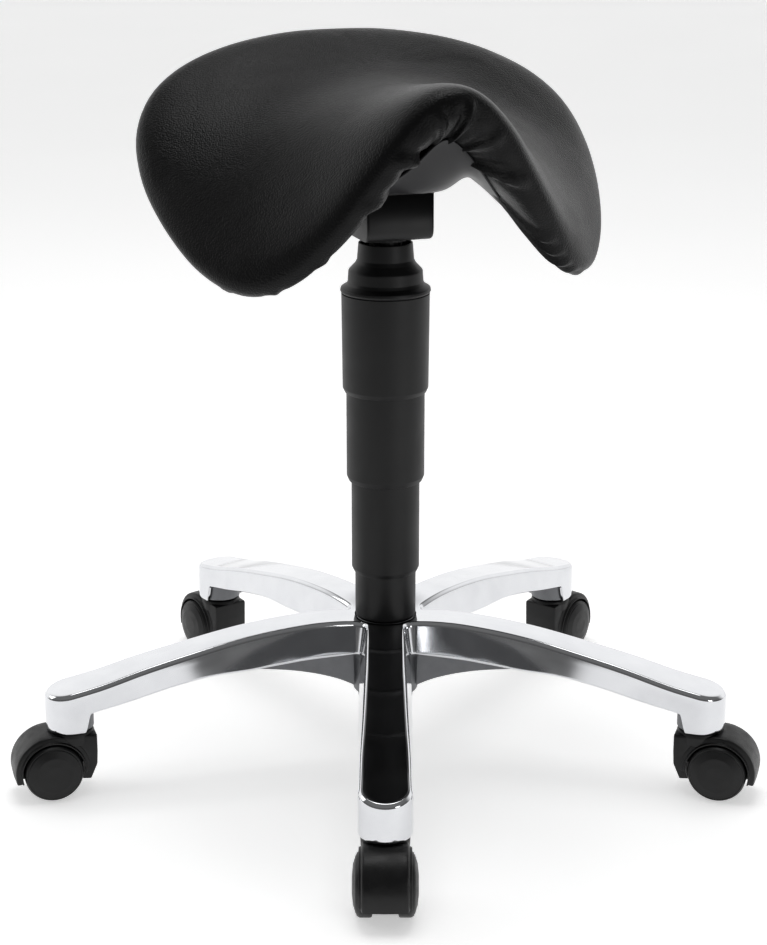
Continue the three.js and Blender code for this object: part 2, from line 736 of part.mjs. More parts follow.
function makeSaddle(seat) {
  place(seat, "seat_shell", shellBody(), shellPlastic);
  place(seat, "seat_foam", foamBody(), foam);
  place(seat, "seat_cover", coverBody(), leather);
}

/** The stool above the piston rod, turned to the way it faces. */
function makeSeat() {
  const seat = new THREE.Group();
  seat.rotation.z = THREE.MathUtils.degToRad(SEAT_TURN_DEG - 90);
  makeSeatCarrier(seat);
  makeSaddle(seat);
  stool.add(seat);
}

makeStarBase();
makeCasters();
makeGasColumn();
makeCovers();
makeSeat();

// The middle of the footprint stands over the origin.
stool.updateMatrixWorld(true);
const footprint = new THREE.Box3().setFromObject(stool, true);
const centre = footprint.getCenter(new THREE.Vector3());
stool.position.set(-centre.x, -centre.y, 0);

export default stool;
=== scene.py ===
import json
import logging
import math
from dataclasses import dataclass
from enum import Enum
from typing import Any, Callable, Iterable, Sequence

import bpy
import numpy as np
from mathutils import Matrix, Vector, noise


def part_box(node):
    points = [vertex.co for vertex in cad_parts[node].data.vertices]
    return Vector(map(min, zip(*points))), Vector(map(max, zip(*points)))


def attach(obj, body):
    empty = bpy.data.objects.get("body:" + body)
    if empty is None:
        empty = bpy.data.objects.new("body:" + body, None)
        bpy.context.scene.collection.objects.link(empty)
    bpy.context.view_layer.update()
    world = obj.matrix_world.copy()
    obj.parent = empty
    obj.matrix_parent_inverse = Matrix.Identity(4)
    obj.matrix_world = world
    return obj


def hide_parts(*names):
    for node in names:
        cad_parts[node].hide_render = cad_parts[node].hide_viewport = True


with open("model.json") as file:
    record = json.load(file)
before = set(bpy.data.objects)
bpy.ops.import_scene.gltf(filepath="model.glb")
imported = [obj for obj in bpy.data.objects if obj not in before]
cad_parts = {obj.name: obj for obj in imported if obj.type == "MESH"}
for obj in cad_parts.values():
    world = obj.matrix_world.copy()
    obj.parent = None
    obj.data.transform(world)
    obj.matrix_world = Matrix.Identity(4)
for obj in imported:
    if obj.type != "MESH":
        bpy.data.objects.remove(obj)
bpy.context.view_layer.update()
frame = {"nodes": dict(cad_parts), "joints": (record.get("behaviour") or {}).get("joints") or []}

MM = 0.001
TURN = 2 * math.pi
log = logging.getLogger("stool")

Point2 = tuple[float, float]
Point3 = tuple[float, float, float]
Socket = bpy.types.NodeSocket
Tree = bpy.types.ShaderNodeTree

# A mix node's sockets share their names, so they are told apart by number.
COLOUR_A, COLOUR_B, COLOUR_OUT = 6, 7, 2
VECTOR_A, VECTOR_B, VECTOR_OUT = 4, 5, 1


# ---- placing ----

def middle(node: str) -> Vector:
    """The middle of a CAD node's box."""
    low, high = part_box(node)
    return (Vector(low) + Vector(high)) / 2


def column_axis() -> Vector:
    """The foot of the column's upright axis, on the floor."""
    centre = middle("gas_outer_tube")
    return Vector((centre.x, centre.y, 0.0))


def joint(name: str) -> dict[str, Any]:
    """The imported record's joint of that name."""
    return next(entry for entry in frame["joints"] if entry["name"] == name)


# ---- mesh tools ----

@dataclass(frozen=True)
class Corner:
    """A corner of an outline with its rounding radius, in millimetres."""

    x: float
    y: float
    radius: float = 0.0


def rounded(corners: Sequence[Corner], steps: int = 5, closed: bool = False) -> list[Point2]:
    """Rounds the corners of an outline with arcs.

    Args:
        corners: The outline's corners in order.
        steps: Points on each arc.
        closed: Whether the last corner joins the first.

    Returns:
        The outline's points.
    """
    points: list[Point2] = []
    count = len(corners)
    for i, corner in enumerate(corners):
        here = Vector((corner.x, corner.y))
        at_end = not closed and i in (0, count - 1)
        if corner.radius <= 0 or at_end:
            points.append((here.x, here.y))
            continue
        before = Vector((corners[i - 1].x, corners[i - 1].y)) - here
        after = Vector((corners[(i + 1) % count].x, corners[(i + 1) % count].y)) - here
        half = before.angle(after) / 2
        reach = min(corner.radius / math.tan(half), 0.49 * before.length, 0.49 * after.length)
        start, end = here + before.normalized() * reach, here + after.normalized() * reach
        for step in range(steps + 1):
            t = step / steps
            bend = start * (1 - t) ** 2 + here * 2 * t * (1 - t) + end * t ** 2
            points.append((bend.x, bend.y))
    return points


def smooth_through(knots: Sequence[Point2]) -> Callable[[float], float]:
    """Makes a smooth function through a few knots.

    Args:
        knots: Points (x, value) with rising x.

    Returns:
        A function that is a cubic between knots and constant outside them.
    """
    xs = [knot[0] for knot in knots]
    ys = [knot[1] for knot in knots]
    slopes = np.gradient(ys, xs)

    def value(x: float) -> float:
        """The smooth value at x."""
        if x <= xs[0]:
            return ys[0]
        if x >= xs[-1]:
            return ys[-1]
        i = int(np.searchsorted(xs, x)) - 1
        width = xs[i + 1] - xs[i]
        t = (x - xs[i]) / width
        return float(
            (2 * t ** 3 - 3 * t ** 2 + 1) * ys[i] + (t ** 3 - 2 * t ** 2 + t) * width * slopes[i]
            + (3 * t ** 2 - 2 * t ** 3) * ys[i + 1] + (t ** 3 - t ** 2) * width * slopes[i + 1]
        )

    return value


def new_piece(name: str, points: Iterable[Point3], faces: Iterable[Sequence[int]],
              place: Matrix | None = None) -> bpy.types.Object:
    """Makes a smooth-shaded mesh object from points in millimetres.

    Args:
        name: The piece's name.
        points: Its corners, in millimetres, in the piece's own frame.
        faces: Corner numbers of each face.
        place: Where the piece's frame stands in the scene, in metres.

    Returns:
        The new object, linked to the scene.
    """
    matrix = place or Matrix.Identity(4)
    mesh = bpy.data.meshes.new(name)
    mesh.from_pydata([matrix @ (Vector(point) * MM) for point in points], [], list(faces))
    mesh.validate()
    mesh.polygons.foreach_set("use_smooth", [True] * len(mesh.polygons))
    mesh.update()
    piece = bpy.data.objects.new(name, mesh)
    bpy.context.scene.collection.objects.link(piece)
    return piece


def grid_faces(rows: int, columns: int, wrap_rows: bool = False,
               wrap_columns: bool = True) -> list[tuple[int, ...]]:
    """Four-sided faces between rows of points.

    Args:
        rows: How many rows of points there are.
        columns: Points in a row.
        wrap_rows: Whether the last row joins the first.
        wrap_columns: Whether a row's last point joins its first.

    Returns:
        The corner numbers of each face.
    """
    faces = []
    for r in range(rows if wrap_rows else rows - 1):
        for c in range(columns if wrap_columns else columns - 1):
            a, b = r * columns, ((r + 1) % rows) * columns
            d = (c + 1) % columns
            faces.append((a + c, a + d, b + d, b + c))
    return faces


def turned(name: str, profile: Sequence[Point2], place: Matrix, segments: int = 96,
           closed: bool = False) -> bpy.types.Object:
    """Turns a profile of (radius, height) points about the piece's Z axis.

    Args:
        name: The piece's name.
        profile: Points from one end to the other, outside to the right of the way they run.
        place: The piece's frame.
        segments: Steps round the axis.
        closed: Whether the profile closes on itself.

    Returns:
        The turned piece.
    """
    points = []
    for radius, height in profile:
        radius = max(radius, 0.01)
        for s in range(segments):
            angle = TURN * s / segments
            points.append((radius * math.cos(angle), radius * math.sin(angle), height))
    faces = grid_faces(len(profile), segments, wrap_rows=closed)
    if not closed:
        last = (len(profile) - 1) * segments
        faces.append(tuple(range(segments - 1, -1, -1)))
        faces.append(tuple(range(last, last + segments)))
    piece = new_piece(name, points, faces, place)
    sharpen(piece, 50)
    return piece


def sharpen(piece: bpy.types.Object, degrees: float) -> None:
    """Keeps edges steeper than an angle crisp in the shading."""
    limit = math.radians(degrees)
    mesh = piece.data
    normals: dict[int, list[Vector]] = {}
    for polygon in mesh.polygons:
        for loop in polygon.loop_indices:
            normals.setdefault(mesh.loops[loop].edge_index, []).append(polygon.normal)
    for edge in mesh.edges:
        pair = normals.get(edge.index, [])
        edge.use_edge_sharp = len(pair) == 2 and pair[0].angle(pair[1], 0.0) > limit


def swept(name: str, path: Sequence[Point3], radius: float | Callable[[float], float], place: Matrix,
          sides: int = 20, steps: int = 60) -> bpy.types.Object:
    """A round bar along a smooth path.

    Args:
        name: The piece's name.
        path: Points that the bar's middle line passes, in millimetres.
        radius: The bar's radius, or a function of the share of its length.
        place: The piece's frame.
        sides: Points round the bar.
        steps: Rings along it.

    Returns:
        The bar, closed at both ends.
    """
    shares = [i / (len(path) - 1) for i in range(len(path))]
    lines = [smooth_through([(share, point[axis]) for share, point in zip(shares, path)])
             for axis in range(3)]
    spine = [Vector([line(i / steps) for line in lines]) for i in range(steps + 1)]
    points: list[Point3] = []
    side = Vector((1, 0, 0))
    for i, centre in enumerate(spine):
        ahead = (spine[min(i + 1, steps)] - spine[max(i - 1, 0)]).normalized()
        side = (side - ahead * side.dot(ahead)).normalized()
        up = ahead.cross(side)
        r = radius(i / steps) if callable(radius) else radius
        for s in range(sides):
            angle = TURN * s / sides
            points.append(tuple(centre + (side * math.cos(angle) + up * math.sin(angle)) * r))
    faces = grid_faces(steps + 1, sides)
    faces.append(tuple(range(sides - 1, -1, -1)))
    faces.append(tuple(range(steps * sides, (steps + 1) * sides)))
    return new_piece(name, points, faces, place)


# ---- finishes ----

def linear(hex_colour: str) -> tuple[float, float, float, float]:
    """Turns an sRGB hex colour into linear red, green, blue and alpha."""
    values = [int(hex_colour.lstrip("#")[i:i + 2], 16) / 255 for i in (0, 2, 4)]
    return (*[v / 12.92 if v <= 0.04045 else ((v + 0.055) / 1.055) ** 2.4 for v in values], 1.0)


class Shader(Enum):
    """The node types that the finishes, the floor and the room use."""

    PLACE = "ShaderNodeTexCoord"
    SPLIT = "ShaderNodeSeparateXYZ"
    NOISE = "ShaderNodeTexNoise"
    CELLS = "ShaderNodeTexVoronoi"
    MIX = "ShaderNodeMix"
    RANGE = "ShaderNodeMapRange"
    BUMP = "ShaderNodeBump"
    MATH = "ShaderNodeMath"


def add(tree: Tree, kind: Shader, sockets: dict[str | int, Any] | None = None,
        **settings: Any) -> bpy.types.Node:
    """Adds a shader node with its settings, values and links.

    Args:
        tree: The material's node tree.
        kind: The node's type.
        sockets: Input socket to a value, or to the output socket that feeds it.
        settings: The node's own properties.

    Returns:
        The new node.
    """
    node = tree.nodes.new(kind.value)
    for key, value in settings.items():
        setattr(node, key, value)
    for key, value in (sockets or {}).items():
        if isinstance(value, bpy.types.NodeSocket):
            tree.links.new(value, node.inputs[key])
        else:
            node.inputs[key].default_value = value
    return node


@dataclass(frozen=True)
class Finish:
    """A surface: its material, how it was made, and the grain that this leaves."""

    name: str
    colour: str
    shade: str
    roughness: float
    roughness_spread: float = 0.06
    metallic: float = 0.0
    ior: float = 1.5
    patch_mm: float = 40.0
    grain_mm: float = 0.8
    grain_depth_mm: float = 0.02
    wave_mm: float = 30.0
    wave_depth_mm: float = 0.0

    def build(self) -> bpy.types.Material:
        """Makes the material with its colour patches, gloss spread and surface relief."""
        found = bpy.data.materials.get(self.name)
        if found:
            return found
        material = bpy.data.materials.new(self.name)
        material.use_nodes = True
        tree = material.node_tree
        surface = tree.nodes["Principled BSDF"]
        place = add(tree, Shader.PLACE).outputs["Object"]
        patches = add(tree, Shader.NOISE, {
            "Vector": place, "Scale": 1 / (self.patch_mm * MM), "Detail": 4.0})
        tint = add(tree, Shader.MIX, {
            "Factor": patches.outputs["Fac"], COLOUR_A: linear(self.shade), COLOUR_B: linear(self.colour),
        }, data_type="RGBA")
        gloss = add(tree, Shader.RANGE, {
            "Value": patches.outputs["Fac"], "From Min": 0.3, "From Max": 0.7,
            "To Min": self.roughness - self.roughness_spread,
            "To Max": self.roughness + self.roughness_spread})
        tree.links.new(tint.outputs[COLOUR_OUT], surface.inputs["Base Color"])
        tree.links.new(gloss.outputs[0], surface.inputs["Roughness"])
        surface.inputs["Metallic"].default_value = self.metallic
        if self.metallic < 0.5:
            surface.inputs["IOR"].default_value = self.ior
        tree.links.new(self.relief(tree, place), surface.inputs["Normal"])
        self.extras(tree, surface, place)
        return material

    def relief(self, tree: Tree, place: Socket) -> Socket:
        """The surface's relief: a fine grain on a slow wave.

        Args:
            tree: The material's node tree.
            place: The point's coordinates.

        Returns:
            The bumped normal.
        """
        slow = add(tree, Shader.NOISE, {"Vector": place, "Scale": 1 / (self.wave_mm * MM), "Detail": 1.0})
        wave = add(tree, Shader.BUMP, {
            "Height": slow.outputs["Fac"], "Strength": 1.0, "Distance": self.wave_depth_mm * MM})
        fine = add(tree, Shader.NOISE, {"Vector": place, "Scale": 1 / (self.grain_mm * MM), "Detail": 3.0})
        grain = add(tree, Shader.BUMP, {
            "Height": fine.outputs["Fac"], "Strength": 1.0, "Distance": self.grain_depth_mm * MM,
            "Normal": wave.outputs[0]})
        return grain.outputs[0]

    def extras(self, tree: Tree, surface: bpy.types.Node, place: Socket) -> None:
        """Further nodes of a finish; the plain one has none."""


@dataclass(frozen=True)
class PebbledLeather(Finish):
    """Pigmented cow leather with an embossed pebble grain."""

    pebble_mm: float = 1.6
    drift_mm: float = 6.0
    drift_share: float = 0.0012
    pore_share: float = 0.4

    def relief(self, tree: Tree, place: Socket) -> Socket:
        """Pebbles with creases between them, over the slow give of the foam."""
        slow = add(tree, Shader.NOISE, {"Vector": place, "Scale": 1 / (self.wave_mm * MM), "Detail": 2.0})
        wave = add(tree, Shader.BUMP, {
            "Height": slow.outputs["Fac"], "Strength": 1.0, "Distance": self.wave_depth_mm * MM})
        drift = add(tree, Shader.NOISE, {"Vector": place, "Scale": 1 / (self.drift_mm * MM), "Detail": 2.0})
        moved = add(tree, Shader.MIX, {
            "Factor": self.drift_share, VECTOR_A: place, VECTOR_B: drift.outputs["Color"],
        }, data_type="VECTOR", blend_type="MIX")
        cells = add(tree, Shader.CELLS, {
            "Vector": moved.outputs[VECTOR_OUT], "Scale": 1 / (self.pebble_mm * MM), "Randomness": 0.9,
        }, feature="F1")
        pebble = add(tree, Shader.BUMP, {
            "Height": cells.outputs["Distance"], "Strength": 1.0, "Distance": self.grain_depth_mm * MM,
            "Normal": wave.outputs[0],
        }, invert=True)
        pores = add(tree, Shader.NOISE, {
            "Vector": place, "Scale": 1 / (self.grain_mm * MM), "Detail": 3.0})
        fine = add(tree, Shader.BUMP, {
            "Height": pores.outputs["Fac"], "Strength": 1.0,
            "Distance": self.pore_share * self.grain_depth_mm * MM, "Normal": pebble.outputs[0]})
        return fine.outputs[0]

    def extras(self, tree: Tree, surface: bpy.types.Node, place: Socket) -> None:
        """A thin clear top coat, as sprayed on furniture leather."""
        surface.inputs["Specular IOR Level"].default_value = 0.22
        surface.inputs["Coat Weight"].default_value = 0.03
        surface.inputs["Coat Roughness"].default_value = 0.25


# Aluminium, gravity cast and buffed on its outer faces: a bright mirror with a slow waviness from the wheel.
BUFFED_ALUMINIUM = Finish("buffed_cast_aluminium", "#e3e4e6", "#d3d4d7", 0.07, 0.025, 1.0, patch_mm=25,
                          grain_mm=1.2, grain_depth_mm=0.002, wave_mm=45, wave_depth_mm=0.12)
# Aluminium as it leaves the mould: grey, dull, with the sand's fine pitting (drawn a little coarse).
RAW_ALUMINIUM = Finish("sand_cast_aluminium", "#8f9092", "#6c6d70", 0.45, 0.08, 1.0, patch_mm=14,
                       grain_mm=1.1, grain_depth_mm=0.12, wave_mm=8, wave_depth_mm=0.1)
# Pigmented cow leather: near black, satin, pebbled (real pebbles are about 0.9 mm, drawn at 1.6 mm to show).
SADDLE_LEATHER = PebbledLeather("pigmented_pebbled_leather", "#111112", "#0a0a0b", 0.34, 0.05, patch_mm=70,
                                grain_mm=0.5, grain_depth_mm=0.34, wave_mm=42, wave_depth_mm=0.7)
# Injection-moulded polypropylene: dark grey, evenly satin.
MOULDED_POLYPROPYLENE = Finish("moulded_polypropylene", "#2b2b2d", "#212123", 0.38, 0.05, patch_mm=30,
                               grain_mm=0.9, grain_depth_mm=0.02, wave_mm=20, wave_depth_mm=0.05)
# Extruded ABS tube: satin black with a faint even haze.
EXTRUDED_ABS = Finish("extruded_abs", "#131314", "#0d0d0e", 0.46, 0.04, patch_mm=22,
                      grain_mm=0.7, grain_depth_mm=0.012, wave_mm=18, wave_depth_mm=0.03)
# Pressed steel with a baked powder coat: black, with a fine orange peel.
POWDER_COATED_STEEL = Finish("powder_coated_steel", "#141415", "#0e0e0f", 0.42, 0.05, patch_mm=24,
                             grain_mm=1.2, grain_depth_mm=0.05, wave_mm=12, wave_depth_mm=0.03)
# Glass-filled nylon from a spark-eroded mould: black with tiny bright points (its craters are about 0.3 mm,
# drawn at 0.8 mm to show).
SPARK_ERODED_NYLON = Finish("spark_eroded_nylon", "#121213", "#0a0a0b", 0.4, 0.08, patch_mm=9,
                            grain_mm=0.8, grain_depth_mm=0.14, wave_mm=6, wave_depth_mm=0.02)
# Polyurethane tread, moulded smooth and dulled by the floor.
MOULDED_POLYURETHANE = Finish("moulded_polyurethane", "#111112", "#0a0a0b", 0.4, 0.09, patch_mm=12,
                              grain_mm=0.7, grain_depth_mm=0.03, wave_mm=9, wave_depth_mm=0.02)
# Zinc-plated turned steel: grey with a soft metallic shine.
ZINC_PLATED_STEEL = Finish("zinc_plated_steel", "#a9acaf", "#8e9194", 0.3, 0.07, 1.0, patch_mm=10,
                           grain_mm=0.6, grain_depth_mm=0.02, wave_mm=7, wave_depth_mm=0.01)
# Acetal as moulded: milky white, smooth.
MOULDED_ACETAL = Finish("moulded_acetal", "#d8d5cb", "#cac6ba", 0.4, 0.05, patch_mm=16,
                        grain_mm=0.8, grain_depth_mm=0.02, wave_mm=10, wave_depth_mm=0.01)
# Nitrile rubber: matt black.
MOULDED_NITRILE = Finish("moulded_nitrile_rubber", "#151515", "#0d0d0d", 0.75, 0.06, patch_mm=8,
                         grain_mm=0.6, grain_depth_mm=0.05, wave_mm=6, wave_depth_mm=0.02)
# Cold-cured polyurethane foam: straw coloured and open-celled.
CUT_FOAM = Finish("cold_cured_foam", "#cfc39c", "#b8ab84", 0.95, 0.03, patch_mm=18,
                  grain_mm=1.4, grain_depth_mm=0.4, wave_mm=9, wave_depth_mm=0.2)


def dress(piece: bpy.types.Object, *finishes: Finish) -> None:
    """Gives a new piece its materials, in slot order."""
    piece.data.materials.clear()
    for finish in finishes:
        piece.data.materials.append(finish.build())


def dress_node(node: str, finish: Finish) -> None:
    """Gives a CAD node that stays in view its material."""
    for material_slot in frame["nodes"][node].material_slots:
        material_slot.material = finish.build()


def settle(piece: bpy.types.Object, body: str, slot: str, *nodes: str) -> None:
    """Makes a piece ride on a body and names the CAD nodes that it stands for."""
    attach(piece, body)
    if nodes:
        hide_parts(*nodes)
    log.info("%s rides on %s for %s", piece.name, body, ", ".join(nodes) or "no node")


# ---- base ----

@dataclass
class StarBase:
    """The cast five-arm base: one buffed skin over the arms and hub, with raw ribs and posts beneath."""

    arms: int = 5
    stem_radius: float = 283.0
    bore: float = 27.3
    fillet: float = 10.7
    wall: float = 3.4
    post_bottom: float = 59.0
    post_radius: float = 19.4
    skirt_start: float = 269.0
    skirt_length: float = 6.0
    root_half: float = 15.0
    edge_out: float = 2.4
    buffed_points: int = 18
    rib_half: float = 3.2
    rib_bevel: float = 1.2

    def __post_init__(self) -> None:
        """Sets the arm's smooth lines against the distance from the column."""
        self.top = smooth_through([(25, 127.5), (44, 130.4), (64, 131.6), (92, 130.6), (130, 126.8),
                                   (180, 117.8), (222, 109.0), (262, 99.0), (287, 94.4), (304, 91.4)])
        self.low = smooth_through([(30, 101.5), (84, 101.4), (130, 98.6), (165, 97.4), (195, 92.6),
                                   (237, 83.2), (263, 78.0), (274, 75.6)])
        self.half = smooth_through([(30, self.root_half), (90, self.root_half), (150, 15.6), (200, 16.8),
                                    (245, 18.2), (self.stem_radius, 18.9)])
        self.draft = smooth_through([(30, 6.6), (90, 7.0), (150, 6.4), (185, 5.4), (230, 3.8),
                                     (self.stem_radius, 2.5), (305, 2.5)])

    def outline(self) -> list[tuple[float, float, float, float]]:
        """Half of one arm's plan outline, from the nose's tip to the valley between two arms.

        Returns:
            Points (x, y, partner x, partner y): the outline's point and the point of the arm's middle line
            or of the bore that the top face joins it to.
        """
        points = []
        nose = self.half(self.stem_radius)
        for i in range(14):
            angle = math.pi / 2 * i / 13
            points.append((self.stem_radius + nose * math.cos(angle), nose * math.sin(angle),
                           self.stem_radius + 8 * math.cos(angle), 0.0))
        start = self.valley_centre() * math.cos(math.pi / self.arms)
        for x in (*np.linspace(self.stem_radius - 3, 262, 24), *np.linspace(257, start, 40)):
            along = (x - start) / (self.stem_radius - start)
            points.append((float(x), self.half(x), self.bore + along * (self.stem_radius - self.bore), 0.0))
        half_step = math.pi / self.arms
        centre = Vector((math.cos(half_step), math.sin(half_step))) * self.valley_centre()
        for i in range(1, 11):
            share = i / 10
            angle = -math.pi / 2 - share * (math.pi / 2 - half_step)
            ring = half_step * share
            points.append((centre.x + self.fillet * math.cos(angle), centre.y + self.fillet * math.sin(angle),
                           self.bore * math.cos(ring), self.bore * math.sin(ring)))
        return points

    def valley_centre(self) -> float:
        """Distance from the column to the middle of the fillet between two arms."""
        return (self.root_half + self.fillet) / math.sin(math.pi / self.arms)

    def low_edge(self, x: float, y: float) -> float:
        """Height of the skin's lower edge, which drops round the nose to the post's foot."""
        reach = math.hypot(x, y)
        if reach < self.skirt_start:
            return self.low(reach)
        share = min(1.0, (reach - self.skirt_start) / self.skirt_length)
        ease = share * share * (3 - 2 * share)
        return self.low(self.skirt_start) * (1 - ease) + (self.post_bottom + 0.6) * ease

    def section(self, x: float, y: float, px: float, py: float, out: Vector) -> list[Point3]:
        """The skin's section from the middle line over the edge, down the side and back inside.

        Args:
            x: The outline's point along the arm.
            y: The outline's point across the arm.
            px: The partner point along the arm.
            py: The partner point across the arm.
            out: The outline's outward direction in plan.

        Returns:
            The section's points, the same number at every place.
        """
        reach = math.hypot(x, y)
        top, low, draft = self.top(reach), self.low_edge(x, y), self.draft(reach)
        rows = [(px + (x - px) * share, py + (y - py) * share) for share in (0, 0.25, 0.5, 0.75, 0.9)]
        section: list[Point3] = [(a, b, self.top(math.hypot(a, b))) for a, b in rows]
        rounding = ((-0.6, 0.0), (-0.1, 0.12), (0.3, 0.5), (1.7, 2.1), (2.1, 2.9), (2.35, 4.2))
        for step_out, drop in rounding:
            section.append((x + out.x * step_out, y + out.y * step_out, top - drop))
        for share in (0.2, 0.4, 0.6, 0.8, 0.94, 1.0):
            reach_out = self.edge_out + max(0.0, draft - self.edge_out) * share
            height = top - 4.6 + (low - top + 4.6) * share
            section.append((x + out.x * reach_out, y + out.y * reach_out, height))
        outside = max(draft, self.edge_out)
        inside = outside - self.wall
        for step_out, height in ((outside - 0.8, low - 0.7), (inside + 0.8, low - 0.7), (inside, low + 0.2),
                                 (inside - 1.5, low + 0.5 * (top - low)), (-4.0, top - 6.0)):
            section.append((x + out.x * step_out, y + out.y * step_out, height))
        section.append((px, py, self.top(math.hypot(px, py)) - 6.0))
        return section

    def skin(self) -> tuple[list[Point3], list[tuple[int, ...]], int]:
        """The whole skin round all arms.

        Returns:
            Its points, its faces and the number of points in a section.
        """
        half = self.outline()
        flat = [Vector((x, y)) for x, y, _, _ in half]
        sections = []
        for i, (x, y, px, py) in enumerate(half):
            ahead = flat[min(i + 1, len(flat) - 1)] - flat[max(i - 1, 0)]
            out = Vector((ahead.y, -ahead.x)).normalized()
            if i == 0:
                out = Vector((1, 0))
            if i == len(half) - 1:
                out = Vector((math.cos(math.pi / self.arms), math.sin(math.pi / self.arms)))
            sections.append(self.section(x, y, px, py, out))
        mirrored = [[(a, -b, c) for a, b, c in row] for row in reversed(sections[1:])]
        arm = mirrored + sections
        arm.pop()
        points: list[Point3] = []
        for k in range(self.arms):
            turn = Matrix.Rotation(TURN * k / self.arms, 3, "Z")
            for row in arm:
                points.extend(tuple(turn @ Vector(point)) for point in row)
        rows, columns = self.arms * len(arm), len(sections[0])
        return points, grid_faces(rows, columns, wrap_rows=True, wrap_columns=False), columns

    def build(self) -> None:
        """Builds the skin, the raw posts, ribs and hub, and dresses them."""
        axis = column_axis()
        first = (middle("caster_stem_1") - axis).to_2d()
        place = Matrix.Translation(axis) @ Matrix.Rotation(math.atan2(first.y, first.x), 4, "Z")
        points, faces, columns = self.skin()
        skin = new_piece("star_base_skin", points, faces, place)
        dress(skin, BUFFED_ALUMINIUM, RAW_ALUMINIUM)
        for polygon, face in zip(skin.data.polygons, faces):
            polygon.material_index = 0 if face[0] % columns < self.buffed_points else 1
        sharpen(skin, 60)
        settle(skin, "base", "polished_cast", "star_base")
        for k in range(self.arms):
            arm_place = place @ Matrix.Rotation(TURN * k / self.arms, 4, "Z")
            self.build_post(k + 1, arm_place)
            self.build_rib(k + 1, arm_place)
        self.build_hub(place)

    def build_post(self, number: int, place: Matrix) -> None:
        """The raw round post under an arm's tip."""
        foot = self.post_bottom
        profile = rounded([Corner(6.2, 84), Corner(6.2, foot, 0.5), Corner(self.post_radius, foot, 1.2),
                           Corner(self.post_radius, 88)])
        stem_place = place @ Matrix.Translation((self.stem_radius * MM, 0, 0))
        post = turned(f"tip_post_{number}", profile, stem_place, 64, closed=True)
        dress(post, RAW_ALUMINIUM)
        settle(post, "base", "polished_cast")

    def build_rib(self, number: int, place: Matrix) -> None:
        """The raw upright rib under an arm, deepest at the hub."""
        start, end, steps = 24, 205, 40
        edge = smooth_through([(start, 60), (42, 70), (58, 76.5), (79, 82.8), (120, 90.5), (170, 97.0),
                               (end, 101)])
        half, bevel = self.rib_half, self.rib_bevel
        points: list[Point3] = []
        for x in np.linspace(start, end, steps):
            bottom, top = edge(x), self.top(x) - 5.5
            points.extend([(x, -half, top), (x, -half, bottom + bevel), (x, -half + bevel, bottom),
                           (x, half - bevel, bottom), (x, half, bottom + bevel), (x, half, top)])
        rib = new_piece(f"arm_rib_{number}", points, grid_faces(steps, 6, wrap_columns=False), place)
        dress(rib, RAW_ALUMINIUM)
        settle(rib, "base", "polished_cast")

    def build_hub(self, place: Matrix) -> None:
        """The raw hub under the skin, with its bore."""
        profile = rounded([
            Corner(25.4, 100), Corner(25.0, 58, 0.6), Corner(28.5, 58, 1.5), Corner(30.2, 66, 3),
            Corner(31, 92, 6), Corner(37, 104, 4), Corner(37, 110), Corner(29.8, 123), Corner(25.5, 127.4),
            Corner(25.4, 120),
        ])
        hub = turned("hub_casting", profile, place, 96, closed=True)
        dress(hub, RAW_ALUMINIUM)
        settle(hub, "base", "polished_cast")


# ---- casters ----

